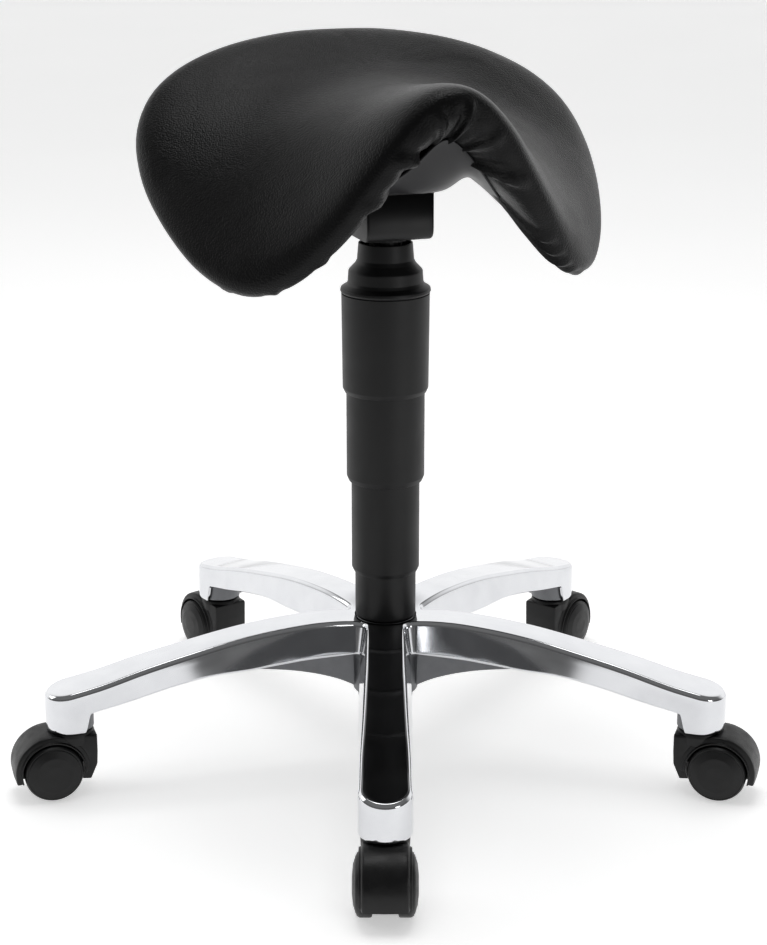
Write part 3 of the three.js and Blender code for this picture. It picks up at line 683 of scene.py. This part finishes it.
@dataclass
class TwinWheelCaster:
    """A hooded twin-wheel caster, its frame on the floor under the stem and +X trailing outward."""

    number: int
    wheel_radius: float = 25.0
    trail: float = 19.0
    inner_face: float = 9.8
    outer_face: float = 25.4
    hood_radius: float = 32.4
    rim_radius: float = 27.8
    inside_radius: float = 26.6
    neck_radius: float = 19.2
    tread_start: float = 23.6
    wheel_segments: int = 72
    hood_start_deg: float = -14.0
    hood_end_deg: float = 184.0
    hood_steps: int = 56

    def place(self) -> Matrix:
        """The caster's frame in the scene."""
        stem = middle(f"caster_stem_{self.number}")
        out = (stem - column_axis()).to_2d()
        return Matrix.Translation((stem.x, stem.y, 0)) @ Matrix.Rotation(math.atan2(out.y, out.x), 4, "Z")

    def build(self) -> None:
        """Builds the hood, the web and both wheels."""
        self.build_hood()
        self.build_neck()
        self.build_fairing()
        self.build_web()
        for side, sign in (("left", 1), ("right", -1)):
            self.build_wheel(side, sign)
        dress_node(f"caster_stem_{self.number}", ZINC_PLATED_STEEL)
        dress_node(f"caster_axle_{self.number}", ZINC_PLATED_STEEL)

    def build_wheel(self, side: str, sign: int) -> None:
        """One wheel: a domed nylon disc with a shallow ring groove and a rounded tread."""
        r, face = self.wheel_radius, self.outer_face
        profile = rounded([
            Corner(4.4, face - 3), Corner(4.4, self.inner_face, 0.4), Corner(19, self.inner_face, 1),
            Corner(19.6, self.inner_face + 1.2, 0.5), Corner(20.6, self.inner_face + 1.2, 0.5),
            Corner(21, self.inner_face, 0.6), Corner(r, self.inner_face + 0.2, 2.2), Corner(r, 19.6, 2.6),
            Corner(23.4, 22.0, 0.6), Corner(22.6, 21.7, 0.3), Corner(21.8, 22.6, 0.8), Corner(15.5, 24.6, 6),
            Corner(8, face, 4), Corner(0, face + 0.1),
        ])
        towards = Matrix.Rotation(-sign * math.pi / 2, 4, "X")
        place = self.place() @ Matrix.Translation((self.trail * MM, 0, r * MM)) @ towards
        wheel = turned(f"wheel_{side}_{self.number}", profile, place, self.wheel_segments)
        dress(wheel, SPARK_ERODED_NYLON, MOULDED_POLYURETHANE)
        for polygon in wheel.data.polygons:
            row = polygon.vertices[0] // self.wheel_segments
            radius = profile[min(row, len(profile) - 1)][0]
            polygon.material_index = 1 if radius > self.tread_start else 0
        settle(wheel, f"wheel_{side}_{self.number}", "tread", f"caster_wheel_{side}_{self.number}")

    def hood_section(self) -> list[Point2]:
        """The fender's section as (distance from the axle, place across)."""
        outer, rim, inside = self.hood_radius, self.rim_radius, self.inside_radius
        right = [
            Corner(outer, 12, 3), Corner(outer - 0.3, 17.6, 2.2), Corner(rim + 0.4, 18.4, 1.0),
            Corner(rim, 20.4, 0.8), Corner(inside, 20.4, 0.3), Corner(inside, 9.0, 0.8), Corner(inside, 0),
        ]
        half = rounded([Corner(outer + 0.3, 0), *right], steps=4)
        return half + [(r, -y) for r, y in reversed(half[1:-1])]

    def build_hood(self) -> None:
        """The fender round both wheels, from low on the outer side over the top to the inner side."""
        section = self.hood_section()
        start, end = math.radians(self.hood_start_deg), math.radians(self.hood_end_deg)
        steps = self.hood_steps
        centre_r = (self.inside_radius + self.rim_radius) / 2
        points: list[Point3] = []
        for i in range(-2, steps + 3):
            share = min(max(i, 0), steps) / steps
            angle = start + (end - start) * share
            shrink = {-2: 0.55, -1: 0.85, steps + 1: 0.85, steps + 2: 0.55}.get(i, 1.0)
            pull = {-2: -0.022, -1: -0.014, steps + 1: 0.014, steps + 2: 0.022}.get(i, 0.0)
            for radius, y in section:
                r = centre_r + (radius - centre_r) * shrink
                points.append((self.trail + r * math.cos(angle + pull), y * (0.9 + 0.1 * shrink),
                               self.wheel_radius + r * math.sin(angle + pull)))
        rows = steps + 5
        faces = grid_faces(rows, len(section))
        faces.append(tuple(range(len(section) - 1, -1, -1)))
        faces.append(tuple(range((rows - 1) * len(section), rows * len(section))))
        hood = new_piece(f"hood_{self.number}", points, faces, self.place())
        sharpen(hood, 55)
        dress(hood, SPARK_ERODED_NYLON)
        settle(hood, f"caster_{self.number}", "black_nylon", f"caster_hood_{self.number}")

    def build_neck(self) -> None:
        """The boss that takes the stem, flared down into the fender."""
        profile = rounded([Corner(5.9, 50), Corner(5.9, 57.6, 0.5), Corner(self.neck_radius - 0.8, 57.6, 1.6),
                           Corner(self.neck_radius, 54, 2), Corner(self.neck_radius - 0.3, 47)])
        neck = turned(f"hood_neck_{self.number}", profile, self.place(), 64, closed=True)
        dress(neck, SPARK_ERODED_NYLON)
        settle(neck, f"caster_{self.number}", "black_nylon")

    def build_fairing(self) -> None:
        """The wall that runs from the neck down the inner side of the wheels, with its own wheel arch."""
        arch = []
        for degrees in range(118, 203, 6):
            angle = math.radians(degrees)
            arch.append(Corner(self.inside_radius * math.cos(angle), self.inside_radius * math.sin(angle)))
        wall = [Corner(-31.6, -10.8, 1.5), Corner(-37.6, 2, 9), Corner(-38.3, 14, 6),
                Corner(-38.3, 29.5, 1.5), Corner(-4, 31.5, 1)]
        outline = rounded([*arch, *wall], 6, closed=True)
        self.build_slab("hood_fairing", outline, half=17.4, bevel=2.2)

    def build_web(self) -> None:
        """The centre web between the wheels, which holds the axle."""
        outline = rounded([
            Corner(-27, 3, 2), Corner(-12, -9, 8), Corner(0, -10.5, 6), Corner(14, -9.5, 8),
            Corner(27.5, -6, 2), Corner(27.5, 10, 6), Corner(0, 30, 16), Corner(-27, 12, 6),
        ], 6, closed=True)
        self.build_slab("hood_web", outline, half=8.6, bevel=0.7)

    def build_slab(self, name: str, outline: Sequence[Point2], half: float, bevel: float) -> None:
        """A slab across the caster from an outline about the axle, with bevelled edges.

        Args:
            name: The piece's name without its number.
            outline: The outline in the wheel's plane, about the axle.
            half: Half the slab's width.
            bevel: The bevel's size.
        """
        centre = Vector((sum(x for x, _ in outline), sum(z for _, z in outline))) / len(outline)
        points: list[Point3] = []
        edges = ((-half, bevel), (-half + 0.3 * bevel, 0.3 * bevel), (-half + bevel, 0.0),
                 (half - bevel, 0.0), (half - 0.3 * bevel, 0.3 * bevel), (half, bevel))
        for y, inset in edges:
            for x, z in outline:
                spot = Vector((x, z))
                inward = (centre - spot).normalized() * inset
                points.append((self.trail + x + inward.x, y, self.wheel_radius + z + inward.y))
        count = len(outline)
        faces = grid_faces(len(edges), count)
        faces.append(tuple(range(count - 1, -1, -1)))
        faces.append(tuple(range((len(edges) - 1) * count, len(edges) * count)))
        slab = new_piece(f"{name}_{self.number}", points, faces, self.place())
        sharpen(slab, 40)
        dress(slab, SPARK_ERODED_NYLON)
        settle(slab, f"caster_{self.number}", "black_nylon")


# ---- column ----

@dataclass
class CoverSleeve:
    """One telescopic cover: a tube with a chamfered foot that turns in to a lip."""

    node: str
    body: str
    foot_radius: float
    top_radius: float
    inner: float
    lip: float
    chamfer: float = 4.0

    def build(self) -> None:
        """Turns the sleeve between the CAD node's foot and top."""
        low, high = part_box(self.node)
        foot, top = low[2] / MM, high[2] / MM
        profile = rounded([
            Corner(self.inner, top), Corner(self.inner, foot + 4.5, 0.8), Corner(self.lip, foot + 3.6, 0.5),
            Corner(self.lip, foot, 0.5), Corner(self.foot_radius - 1.9, foot, 0.8),
            Corner(self.foot_radius, foot + self.chamfer, 1.6), Corner(self.top_radius, top, 0.4),
        ])
        piece = turned(f"{self.node}_tube", profile, Matrix.Translation(column_axis()), 128, closed=True)
        dress(piece, EXTRUDED_ABS)
        settle(piece, self.body, "cover_plastic", self.node)


@dataclass
class ColumnBoot:
    """The stepped boot on the top cover, with its collar lip."""

    collar: float = 38.4
    barrel: float = 32.0
    neck: float = 24.6
    mouth: float = 22.9
    mouth_rise: float = 4.0

    def build(self) -> None:
        """Turns the boot on the CAD node's heights."""
        low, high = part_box("cover_boot")
        z, top = low[2] / MM, high[2] / MM + self.mouth_rise
        profile = rounded([
            Corner(30.0, z + 8), Corner(30.0, z + 0.2, 0.4), Corner(self.collar - 1.4, z + 0.1, 0.8),
            Corner(self.collar, z + 2.0, 1.2),
            Corner(self.collar - 0.4, z + 4.6, 1.6), Corner(self.barrel + 1.2, z + 7.4, 2.0),
            Corner(self.barrel, z + 10, 2.5),
            Corner(self.barrel - 0.6, z + 19.5, 3.0), Corner(self.neck + 1.2, z + 25.4, 2.4),
            Corner(self.neck - 0.5, z + 28.6, 2.4), Corner(self.mouth, top, 0.7), Corner(21.4, top, 0.5),
            Corner(22.4, z + 27, 2), Corner(29.0, z + 19),
        ], steps=6)
        boot = turned("column_boot", profile, Matrix.Translation(column_axis()), 128, closed=True)
        dress(boot, EXTRUDED_ABS)
        settle(boot, "seat", "cover_plastic", "cover_boot")


@dataclass
class GasColumn:
    """The gas spring's own pieces, which keep their CAD shapes, under the telescopic covers."""

    def build(self) -> None:
        """Dresses the gas spring and builds the covers."""
        for node in ("gas_outer_tube", "gas_cylinder"):
            dress_node(node, POWDER_COATED_STEEL)
        for node in ("thrust_bearing", "bearing_washer", "retaining_clip", "gas_piston_rod", "valve_button"):
            dress_node(node, ZINC_PLATED_STEEL)
        dress_node("gas_guide_bush", MOULDED_ACETAL)
        for node in ("rubber_bumper", "gas_piston"):
            dress_node(node, MOULDED_NITRILE)
        CoverSleeve("cover_sleeve_4", "base", 26.6, 26.6, 25.5, 25.4, 0.8).build()
        CoverSleeve("cover_sleeve_3", "sleeve_3", 29.6, 29.6, 28.2, 27.2).build()
        CoverSleeve("cover_sleeve_2", "sleeve_2", 33.7, 33.7, 32.2, 30.3, 4.6).build()
        CoverSleeve("cover_sleeve_1", "seat", 36.8, 37.5, 35.4, 34.4).build()
        ColumnBoot().build()


# ---- seat carrier ----

@dataclass
class SeatCarrier:
    """The pressed-steel tray, plate, lever and bolts under the seat, in the seat's own frame."""

    half_width: float = 29.0
    wall: float = 2.5
    bend: float = 10.0

    def place(self) -> Matrix:
        """The seat's frame: +X to the sitter's front, +Y to the left, on the column's axis."""
        ahead = -Vector(joint("lever_tilt")["axis"])
        return Matrix.Translation(column_axis()) @ Matrix.Rotation(math.atan2(ahead.y, ahead.x), 4, "Z")

    def build(self) -> None:
        """Builds the tray and the grip, and dresses the CAD pieces that keep their shapes."""
        self.build_tray()
        for node in ("mechanism_plate", "seat_spacer_front", "seat_spacer_rear", "taper_socket"):
            dress_node(node, POWDER_COATED_STEEL)
        for node in ("lever_bracket", "lever_pin", "height_lever", "seat_bolt_1", "seat_bolt_2",
                     "seat_bolt_3", "seat_bolt_4"):
            dress_node(node, ZINC_PLATED_STEEL)
        self.build_grip()

    def build_tray(self) -> None:
        """The tray: a pressed box whose front and back walls bend into the floor."""
        place = self.place()
        inverse = place.inverted()
        corners = [inverse @ Vector(corner) for corner in mesh_points("mechanism_housing")]
        back, front = (pick(corner.x for corner in corners) / MM for pick in (min, max))
        bottom, top = (pick(corner.z for corner in corners) / MM for pick in (min, max))
        outline = rounded([Corner(front, top), Corner(front + 0.4, bottom, self.bend),
                           Corner(back - 0.4, bottom, self.bend), Corner(back, top)], steps=10)
        half = self.half_width
        rows = ((half - 2.2, 0.0), (half - 0.8, 0.3), (half - 0.1, 1.0), (half, 2.2))
        points: list[Point3] = []
        middle_x, middle_z = (front + back) / 2, top
        order = [(-y, inset) for y, inset in reversed(rows)] + list(rows)
        for y, inset in order:
            for x, z in outline:
                toward = Vector((middle_x - x, middle_z - z))
                toward = toward.normalized() if toward.length > 1e-6 else toward
                points.append((x + toward.x * inset, y, min(z + toward.y * inset, top)))
        faces = grid_faces(len(order), len(outline), wrap_columns=False)
        faces.append(tuple(range(len(outline) - 1, -1, -1)))
        faces.append(tuple(range((len(order) - 1) * len(outline), len(order) * len(outline))))
        tray = new_piece("mechanism_tray", points, faces, place)
        sharpen(tray, 50)
        solid = tray.modifiers.new("sheet", "SOLIDIFY")
        solid.thickness = self.wall * MM
        solid.offset = -1.0
        dress(tray, POWDER_COATED_STEEL)
        settle(tray, "seat", "black_steel", "mechanism_housing")

    def build_grip(self) -> None:
        """The lever's moulded grip, swollen towards its end, with finger rings."""
        def radius(share: float) -> float:
            """The grip's radius along its length."""
            ends = min(1.0, 6 * share) ** 0.5 * min(1.0, 8 * (1 - share)) ** 0.5
            rings = 0.25 * math.cos(share * TURN * 9) if 0.15 < share < 0.85 else 0.0
            return max(0.4, (6.6 + 0.9 * share + rings) * ends)

        path = [(-17.5, -100, 467.8), (-24, -125, 457), (-32, -154, 447)]
        grip = swept("lever_handle", path, radius, self.place(), 28, 90)
        dress(grip, SPARK_ERODED_NYLON)
        settle(grip, "lever", "black_nylon", "lever_grip")


def mesh_points(node: str) -> list[Vector]:
    """The corners of a CAD node's mesh."""
    return [vertex.co.copy() for vertex in frame["nodes"][node].data.vertices]


# ---- saddle ----

@dataclass
class Pleat:
    """A gather in the leather: where it lies round the rim, how deep and how wide it is."""

    angle: float
    depth: float
    width: float
    lean: float = 0.0


@dataclass
class Saddle:
    """The leather saddle, its foam under the skin, and the moulded shell below."""

    forward: float = 149.0
    rearward: float = 161.0
    half_width: float = 204.0
    widest_x: float = -64.0
    shift_y: float = 9.0
    power_front: float = 1.7
    power_back: float = 2.45
    half_thickness: float = 29.0
    edge_power: float = 3.1
    low_x: float = -35.0
    low_z: float = 563.5
    front_z: float = 594.0
    back_z: float = 620.0
    drop_front: float = 2.92
    drop_back: float = 0.1
    soft_front: float = 67.0
    soft_back: float = 101.0
    blend_power: float = 2.0
    underside_spread: float = 1.6
    sectors: int = 300
    crowding: float = 0.78
    boss_face: float = 514.0
    slack: float = 1.6
    swell_cap: float = 2.6
    swell_frames: int = 14
    shell_share: float = 0.81
    shell_wall: float = 3.0

    def height(self, x: float, y: float, spread: float = 1.0) -> float:
        """Height of the pad's middle surface."""
        end = self.forward if x > self.low_x else -self.rearward
        rise = (self.front_z if x > self.low_x else self.back_z) - self.low_z
        spine = self.low_z + rise * ((x - self.low_x) / (end - self.low_x)) ** 2
        along = min(max((x + self.rearward) / (self.rearward + self.forward), 0.0), 1.0) ** self.blend_power
        drop = self.drop_back + (self.drop_front - self.drop_back) * along
        soft = spread * (self.soft_back + (self.soft_front - self.soft_back) * along)
        return spine - drop * (math.hypot(y, soft) - soft)

    def point(self, x: float, y: float, offset: float) -> Vector:
        """A point at a distance above or below the middle surface."""
        spread = self.underside_spread if offset < 0 else 1.0
        slope_x = self.height(x + 0.5, y, spread) - self.height(x - 0.5, y, spread)
        slope_y = self.height(x, y + 0.5, spread) - self.height(x, y - 0.5, spread)
        step = Vector((-slope_x, -slope_y, 1)).normalized() * offset
        return Vector((x + step.x, y + self.shift_y + step.y, self.height(x, y) + step.z))

    def outline(self, angle: float) -> float:
        """Radius of the flat outline in a direction about its widest place."""
        cos, sin = math.cos(angle), math.sin(angle)
        half = self.forward - self.widest_x if cos >= 0 else self.rearward + self.widest_x
        power = self.power_front if cos >= 0 else self.power_back
        return (abs(cos / half) ** power + abs(sin / self.half_width) ** power) ** (-1 / power)

    def thickness(self, share: float) -> float:
        """Half thickness of the pad at a share of the outline's radius."""
        return self.half_thickness * (1 - share ** self.edge_power) ** (1 / self.edge_power)

    def direction(self, i: int) -> float:
        """The direction of a sector, with the sectors crowded together at the front arch."""
        even = TURN * i / self.sectors
        return even - self.crowding * math.sin(even)

    def ring(self, share: float, offset: float, inset: float = 0.0) -> list[Vector]:
        """A ring of points round the pad."""
        points = []
        for i in range(self.sectors):
            angle = self.direction(i)
            radius = share * (self.outline(angle) - inset)
            x, y = self.widest_x + radius * math.cos(angle), radius * math.sin(angle)
            points.append(self.point(x, y, offset))
        return points

    def crown(self, offset: float) -> Vector:
        """The point of the pad over the middle of its outline."""
        return self.point(self.widest_x, 0.0, offset)

    def build(self, place: Matrix) -> None:
        """Builds the leather and the shell."""
        self.build_leather(place)
        self.build_shell(place)

    def rim_shares(self, count: int) -> list[float]:
        """Shares of the outline's radius, close together at the rim."""
        return [math.sin(math.pi / 2 * i / (count - 1)) ** 0.8 for i in range(count)]

    def build_leather(self, place: Matrix) -> None:
        """The leather: over the top, round the rim and turned in under the edge."""
        slack = self.slack
        shares = self.rim_shares(44)
        upper = [(share, self.thickness(share) - slack) for share in shares[1:-1]]
        lower = [(share, -self.thickness(share) + slack) for share in reversed(shares[1:-1])]
        rows = [*upper, (1.0, 0.0), *lower]
        points: list[Vector] = []
        for share, offset in rows:
            points.extend(self.ring(share, offset, slack))
        faces = grid_faces(len(rows), self.sectors)
        last = (len(rows) - 1) * self.sectors
        points.extend((self.crown(self.thickness(0) - slack), self.crown(slack - self.thickness(0))))
        top, bottom = last + self.sectors, last + self.sectors + 1
        faces.extend((top, (i + 1) % self.sectors, i) for i in range(self.sectors))
        faces.extend((bottom, last + i, last + (i + 1) % self.sectors) for i in range(self.sectors))
        leather = new_piece("saddle_leather", points, faces, place)
        self.inflate(leather, [share for share, _ in rows])
        self.gather(leather, rows)
        dress(leather, SADDLE_LEATHER)
        settle(leather, "seat", "leather", "seat_cover", "seat_foam")

    def swell_shares(self, shares: Sequence[float]) -> np.ndarray:
        """How much each ring may swell: all of it at the rim, nothing at the tight middle."""
        share = np.clip((np.array(shares) - 0.2) / 0.5, 0.0, 1.0)
        return share * share * (3 - 2 * share)

    def inflate(self, leather: bpy.types.Object, shares: Sequence[float]) -> None:
        """Lets the leather swell over its foam with a short cloth simulation, capped to keep its shape.

        Args:
            leather: The leather piece, whose points run ring by ring.
            shares: The share of the outline's radius of each ring.
        """
        before = np.array([vertex.co[:] for vertex in leather.data.vertices])
        cloth = leather.modifiers.new("swell", "CLOTH")
        settings = cloth.settings
        settings.use_pressure = True
        settings.uniform_pressure_force = 4.0
        settings.tension_stiffness = settings.compression_stiffness = 40
        settings.bending_stiffness = 6
        settings.mass = 0.4
        settings.effector_weights.gravity = 0.0
        cloth.collision_settings.use_collision = False
        scene = bpy.context.scene
        cloth.point_cache.frame_start, cloth.point_cache.frame_end = 1, self.swell_frames
        for step in range(1, self.swell_frames + 1):
            scene.frame_set(step)
        graph = bpy.context.evaluated_depsgraph_get()
        after = np.array([vertex.co[:] for vertex in leather.evaluated_get(graph).data.vertices])
        leather.modifiers.remove(cloth)
        scene.frame_set(1)
        move = after - before
        length = np.linalg.norm(move, axis=1, keepdims=True)
        share = np.append(np.repeat(self.swell_shares(shares), self.sectors), [0.0, 0.0])
        cap = self.swell_cap * MM * share[:, None]
        moved = before + move * np.minimum(1.0, cap / np.maximum(length, 1e-9))
        leather.data.vertices.foreach_set("co", moved.ravel())
        leather.data.update()
        log.info("leather swelled by %.1f mm at most", float(length.max()) / MM)

    def pleats(self) -> list[Pleat]:
        """The gathers under the front arch and the small ones along the side edges."""
        arch = [
            Pleat(-0.36, 3.4, 0.018, 0.03), Pleat(-0.235, 5.2, 0.018, 0.03), Pleat(-0.09, 2.6, 0.014, 0.01),
            Pleat(0.04, 4.4, 0.017, 0.0), Pleat(0.18, 2.8, 0.015, -0.02), Pleat(0.315, 5.2, 0.019, -0.05),
        ]
        sides = [
            Pleat(0.50, 3.6, 0.018), Pleat(0.57, 3.2, 0.016), Pleat(0.64, 4.4, 0.018),
            Pleat(0.72, 3.4, 0.018), Pleat(0.81, 2.6, 0.020), Pleat(-0.55, 1.5, 0.016),
            Pleat(-0.75, 1.8, 0.018), Pleat(-0.98, 1.6, 0.022),
        ]
        return arch + sides

    def gather(self, leather: bpy.types.Object, rows: Sequence[Point2]) -> None:
        """Presses the gathers into the lower half of the rim and gives the leather its slow hollows.

        Args:
            leather: The leather piece, whose points run ring by ring.
            rows: The share and offset of each ring.
        """
        mesh = leather.data
        normals = [vertex.normal.copy() for vertex in mesh.vertices]
        pleats = self.pleats()
        angles = [math.remainder(self.direction(i), TURN) for i in range(self.sectors)]
        for r, (share, offset) in enumerate(rows):
            depth_in = min(1.0, max(0.0, (0.12 * self.half_thickness - offset) / self.half_thickness))
            near_rim = min(1.0, max(0.0, (share - 0.66) / 0.2))
            fade = math.sin(math.pi / 2 * min(1.0, 1.8 * depth_in)) * near_rim
            for i, angle in enumerate(angles):
                vertex = mesh.vertices[r * self.sectors + i]
                give = noise.noise(vertex.co * 14.0) * 0.8 + noise.noise(vertex.co * 31.0) * 0.3
                give += self.fold(angle, depth_in, pleats) * fade if fade > 0 else 0.0
                vertex.co += normals[r * self.sectors + i] * give * MM
        mesh.update()

    def fold(self, angle: float, depth_in: float, pleats: Sequence[Pleat]) -> float:
        """How far the gathers move the leather in or out at a direction, in millimetres."""
        give = 0.0
        for pleat in pleats:
            away = (angle - pleat.angle - pleat.lean * depth_in) / pleat.width
            if abs(away) < 4:
                shoulder = 0.3 * pleat.depth * math.exp(-(abs(away) - 1.9) ** 2)
                give += shoulder - pleat.depth * math.exp(-away * away)
        return give

    def build_shell(self, place: Matrix) -> None:
        """The moulded shell under the leather: a smooth skin that runs down into the flat boss."""
        steps = 30
        shares = [math.sin(math.pi / 2 * i / steps) * self.shell_share for i in range(steps + 1)]
        points: list[Vector] = []
        for share in reversed(shares[1:]):
            edge = max(0.0, (share - 0.74) / 0.07)
            for spot in self.ring(share, -self.thickness(share) - 0.8 + 1.6 * edge):
                points.append(self.pull_to_boss(spot))
        faces = grid_faces(len(shares) - 1, self.sectors)
        last = (len(shares) - 2) * self.sectors
        points.append(self.pull_to_boss(self.crown(-self.thickness(0) - 0.8)))
        crown = last + self.sectors
        faces.extend((crown, last + i, last + (i + 1) % self.sectors) for i in range(self.sectors))
        shell = new_piece("saddle_shell", points, faces, place)
        solid = shell.modifiers.new("wall", "SOLIDIFY")
        solid.thickness = self.shell_wall * MM
        solid.offset = 1.0
        dress(shell, MOULDED_POLYPROPYLENE)
        settle(shell, "seat", "shell_plastic", "seat_shell")

    def pull_to_boss(self, spot: Vector) -> Vector:
        """Draws a point of the shell down to the boss where it lies over it."""
        across = abs(spot.y) / 62
        behind = max(0.0, (-spot.x - 96) / 45)
        ahead = max(0.0, (spot.x - 40) / 78)
        away = min(1.0, math.hypot(across, max(behind, ahead)) if (behind or ahead) else across)
        flat = 0.55
        share = max(0.0, (away - flat) / (1 - flat))
        ease = share * share * (3 - 2 * share)
        height = self.boss_face + (spot.z - self.boss_face) * ease if spot.z > self.boss_face else spot.z
        return Vector((spot.x, spot.y, height))


# ---- studio ----

@dataclass
class Studio:
    """The pale floor, the soft lights and the camera. The floor's half side is in metres."""

    camera_back: float = 1653.6
    camera_height: float = 770.2
    camera_pitch: float = 17.2
    lens: float = 75.89
    floor_half: float = 14.0
    # Where the floor's painted shade begins, in millimetres in front of the column.
    painted_shade_edge: float = 900.0
    floor_drop: float = 0.2
    table_glow: float = 0.5
    view_gamma: float = 0.88

    def build(self) -> None:
        """Builds the floor, the lights and the camera."""
        self.build_floor()
        self.build_lights()
        self.build_camera()

    def build_floor(self) -> None:
        """A pale floor, with a painted shade in front of the stool."""
        half, z = self.floor_half / MM, -self.floor_drop
        corners = [(-half, -half, z), (half, -half, z), (half, half, z), (-half, half, z)]
        floor = new_piece("floor", corners, [(0, 1, 2, 3)])
        floor.data.materials.append(self.light_table())

    def light_table(self) -> bpy.types.Material:
        """White acrylic that glows as if lit from below, with a painted shade in front of the stool, where
        its colour fades to grey and its glow fades out; its gloss is faintly uneven.
        """
        material = bpy.data.materials.new("glowing_acrylic_with_painted_front_shade")
        material.use_nodes = True
        tree = material.node_tree
        surface = tree.nodes["Principled BSDF"]
        place = add(tree, Shader.PLACE).outputs["Object"]
        haze = add(tree, Shader.NOISE, {"Vector": place, "Scale": 2.0, "Detail": 0.0})
        gloss = add(tree, Shader.RANGE, {"Value": haze.outputs["Fac"], "To Min": 0.6, "To Max": 0.7})
        tree.links.new(gloss.outputs[0], surface.inputs["Roughness"])
        # Painted shade: in front of the stool the floor's colour fades from white to a painted grey and its
        # glow fades out.
        parts = add(tree, Shader.SPLIT, {0: place})
        reach = {"Value": parts.outputs["Y"], "From Min": -3.0 * self.painted_shade_edge * MM,
                 "From Max": -self.painted_shade_edge * MM}
        unshaded_share = add(tree, Shader.RANGE, reach, interpolation_type="SMOOTHSTEP")
        tint = add(tree, Shader.MIX, {"Factor": unshaded_share.outputs[0], 6: linear("#b8b8b8"), 7: linear("#f7f7f7")},
                   data_type="RGBA")
        glow = add(tree, Shader.MATH, {0: unshaded_share.outputs[0], 1: self.table_glow}, operation="MULTIPLY")
        tree.links.new(tint.outputs[COLOUR_OUT], surface.inputs["Base Color"])
        tree.links.new(glow.outputs[0], surface.inputs["Emission Strength"])
        surface.inputs["Specular IOR Level"].default_value = 0.2
        surface.inputs["Emission Color"].default_value = (1, 1, 1, 1)
        return material

    def light(self, name: str, place: Point3, size: float, power: float) -> None:
        """A square soft light that faces the seat's column."""
        data = bpy.data.lights.new(name, "AREA")
        data.shape = "SQUARE"
        data.size = size
        data.energy = power
        lamp = bpy.data.objects.new(name, data)
        lamp.location = place
        towards = Vector((0, 0, 0.35)) - Vector(place)
        lamp.rotation_euler = towards.to_track_quat("-Z", "Y").to_euler()
        bpy.context.scene.collection.objects.link(lamp)

    def build_room(self) -> None:
        """A studio that is white behind the stool and dim in front of it."""
        world = bpy.data.worlds.new("white_room")
        world.use_nodes = True
        tree = world.node_tree
        way = add(tree, Shader.PLACE).outputs["Generated"]
        parts = add(tree, Shader.SPLIT, {0: way})
        back = add(tree, Shader.RANGE, {"Value": parts.outputs["Y"], "From Min": 0.0, "From Max": 0.5},
                   interpolation_type="SMOOTHSTEP")
        low = add(tree, Shader.RANGE, {"Value": parts.outputs["Z"], "From Min": 0.75, "From Max": 0.4},
                  interpolation_type="SMOOTHSTEP")
        sweep = add(tree, Shader.MATH, {0: back.outputs[0], 1: low.outputs[0]}, operation="MULTIPLY")
        above = add(tree, Shader.RANGE, {
            "Value": parts.outputs["Z"], "From Min": 0.1, "From Max": 0.7, "To Min": 0.14, "To Max": 0.22,
        }, interpolation_type="SMOOTHSTEP")
        glow = add(tree, Shader.MATH, {0: sweep.outputs[0], 1: 1.0, 2: above.outputs[0]},
                   operation="MULTIPLY_ADD")
        backdrop = tree.nodes["Background"]
        backdrop.inputs["Color"].default_value = (1, 1, 1, 1)
        tree.links.new(glow.outputs[0], backdrop.inputs["Strength"])
        bpy.context.scene.world = world

    def build_lights(self) -> None:
        """Large soft boxes above and on both sides."""
        self.build_room()
        self.light("top_box", (0.0, 0.35, 2.6), 1.6, 24)
        self.light("left_box", (-2.0, 0.3, 1.2), 0.8, 4)
        self.light("right_box", (1.4, -1.5, 0.55), 0.6, 4)

    def build_camera(self) -> None:
        """The camera, level across and pitched down at the column."""
        data = bpy.data.cameras.new("camera")
        data.lens = self.lens
        data.sensor_width = 36.0
        camera = bpy.data.objects.new("camera", data)
        axis = column_axis()
        camera.location = (axis.x, axis.y - self.camera_back * MM, self.camera_height * MM)
        camera.rotation_euler = (math.radians(90 - self.camera_pitch), 0, math.radians(0.06))
        bpy.context.scene.collection.objects.link(camera)
        bpy.context.scene.camera = camera
        bpy.context.scene.view_settings.view_transform = "Standard"
        bpy.context.scene.view_settings.gamma = self.view_gamma


def main() -> None:
    """Builds the studio and the stool."""
    logging.basicConfig(level=logging.INFO, format="%(name)s: %(message)s")
    Studio().build()
    StarBase().build()
    for number in range(1, 6):
        TwinWheelCaster(number).build()
    GasColumn().build()
    carrier = SeatCarrier()
    carrier.build()
    Saddle().build(carrier.place())


if __name__ == "__main__":
    main()
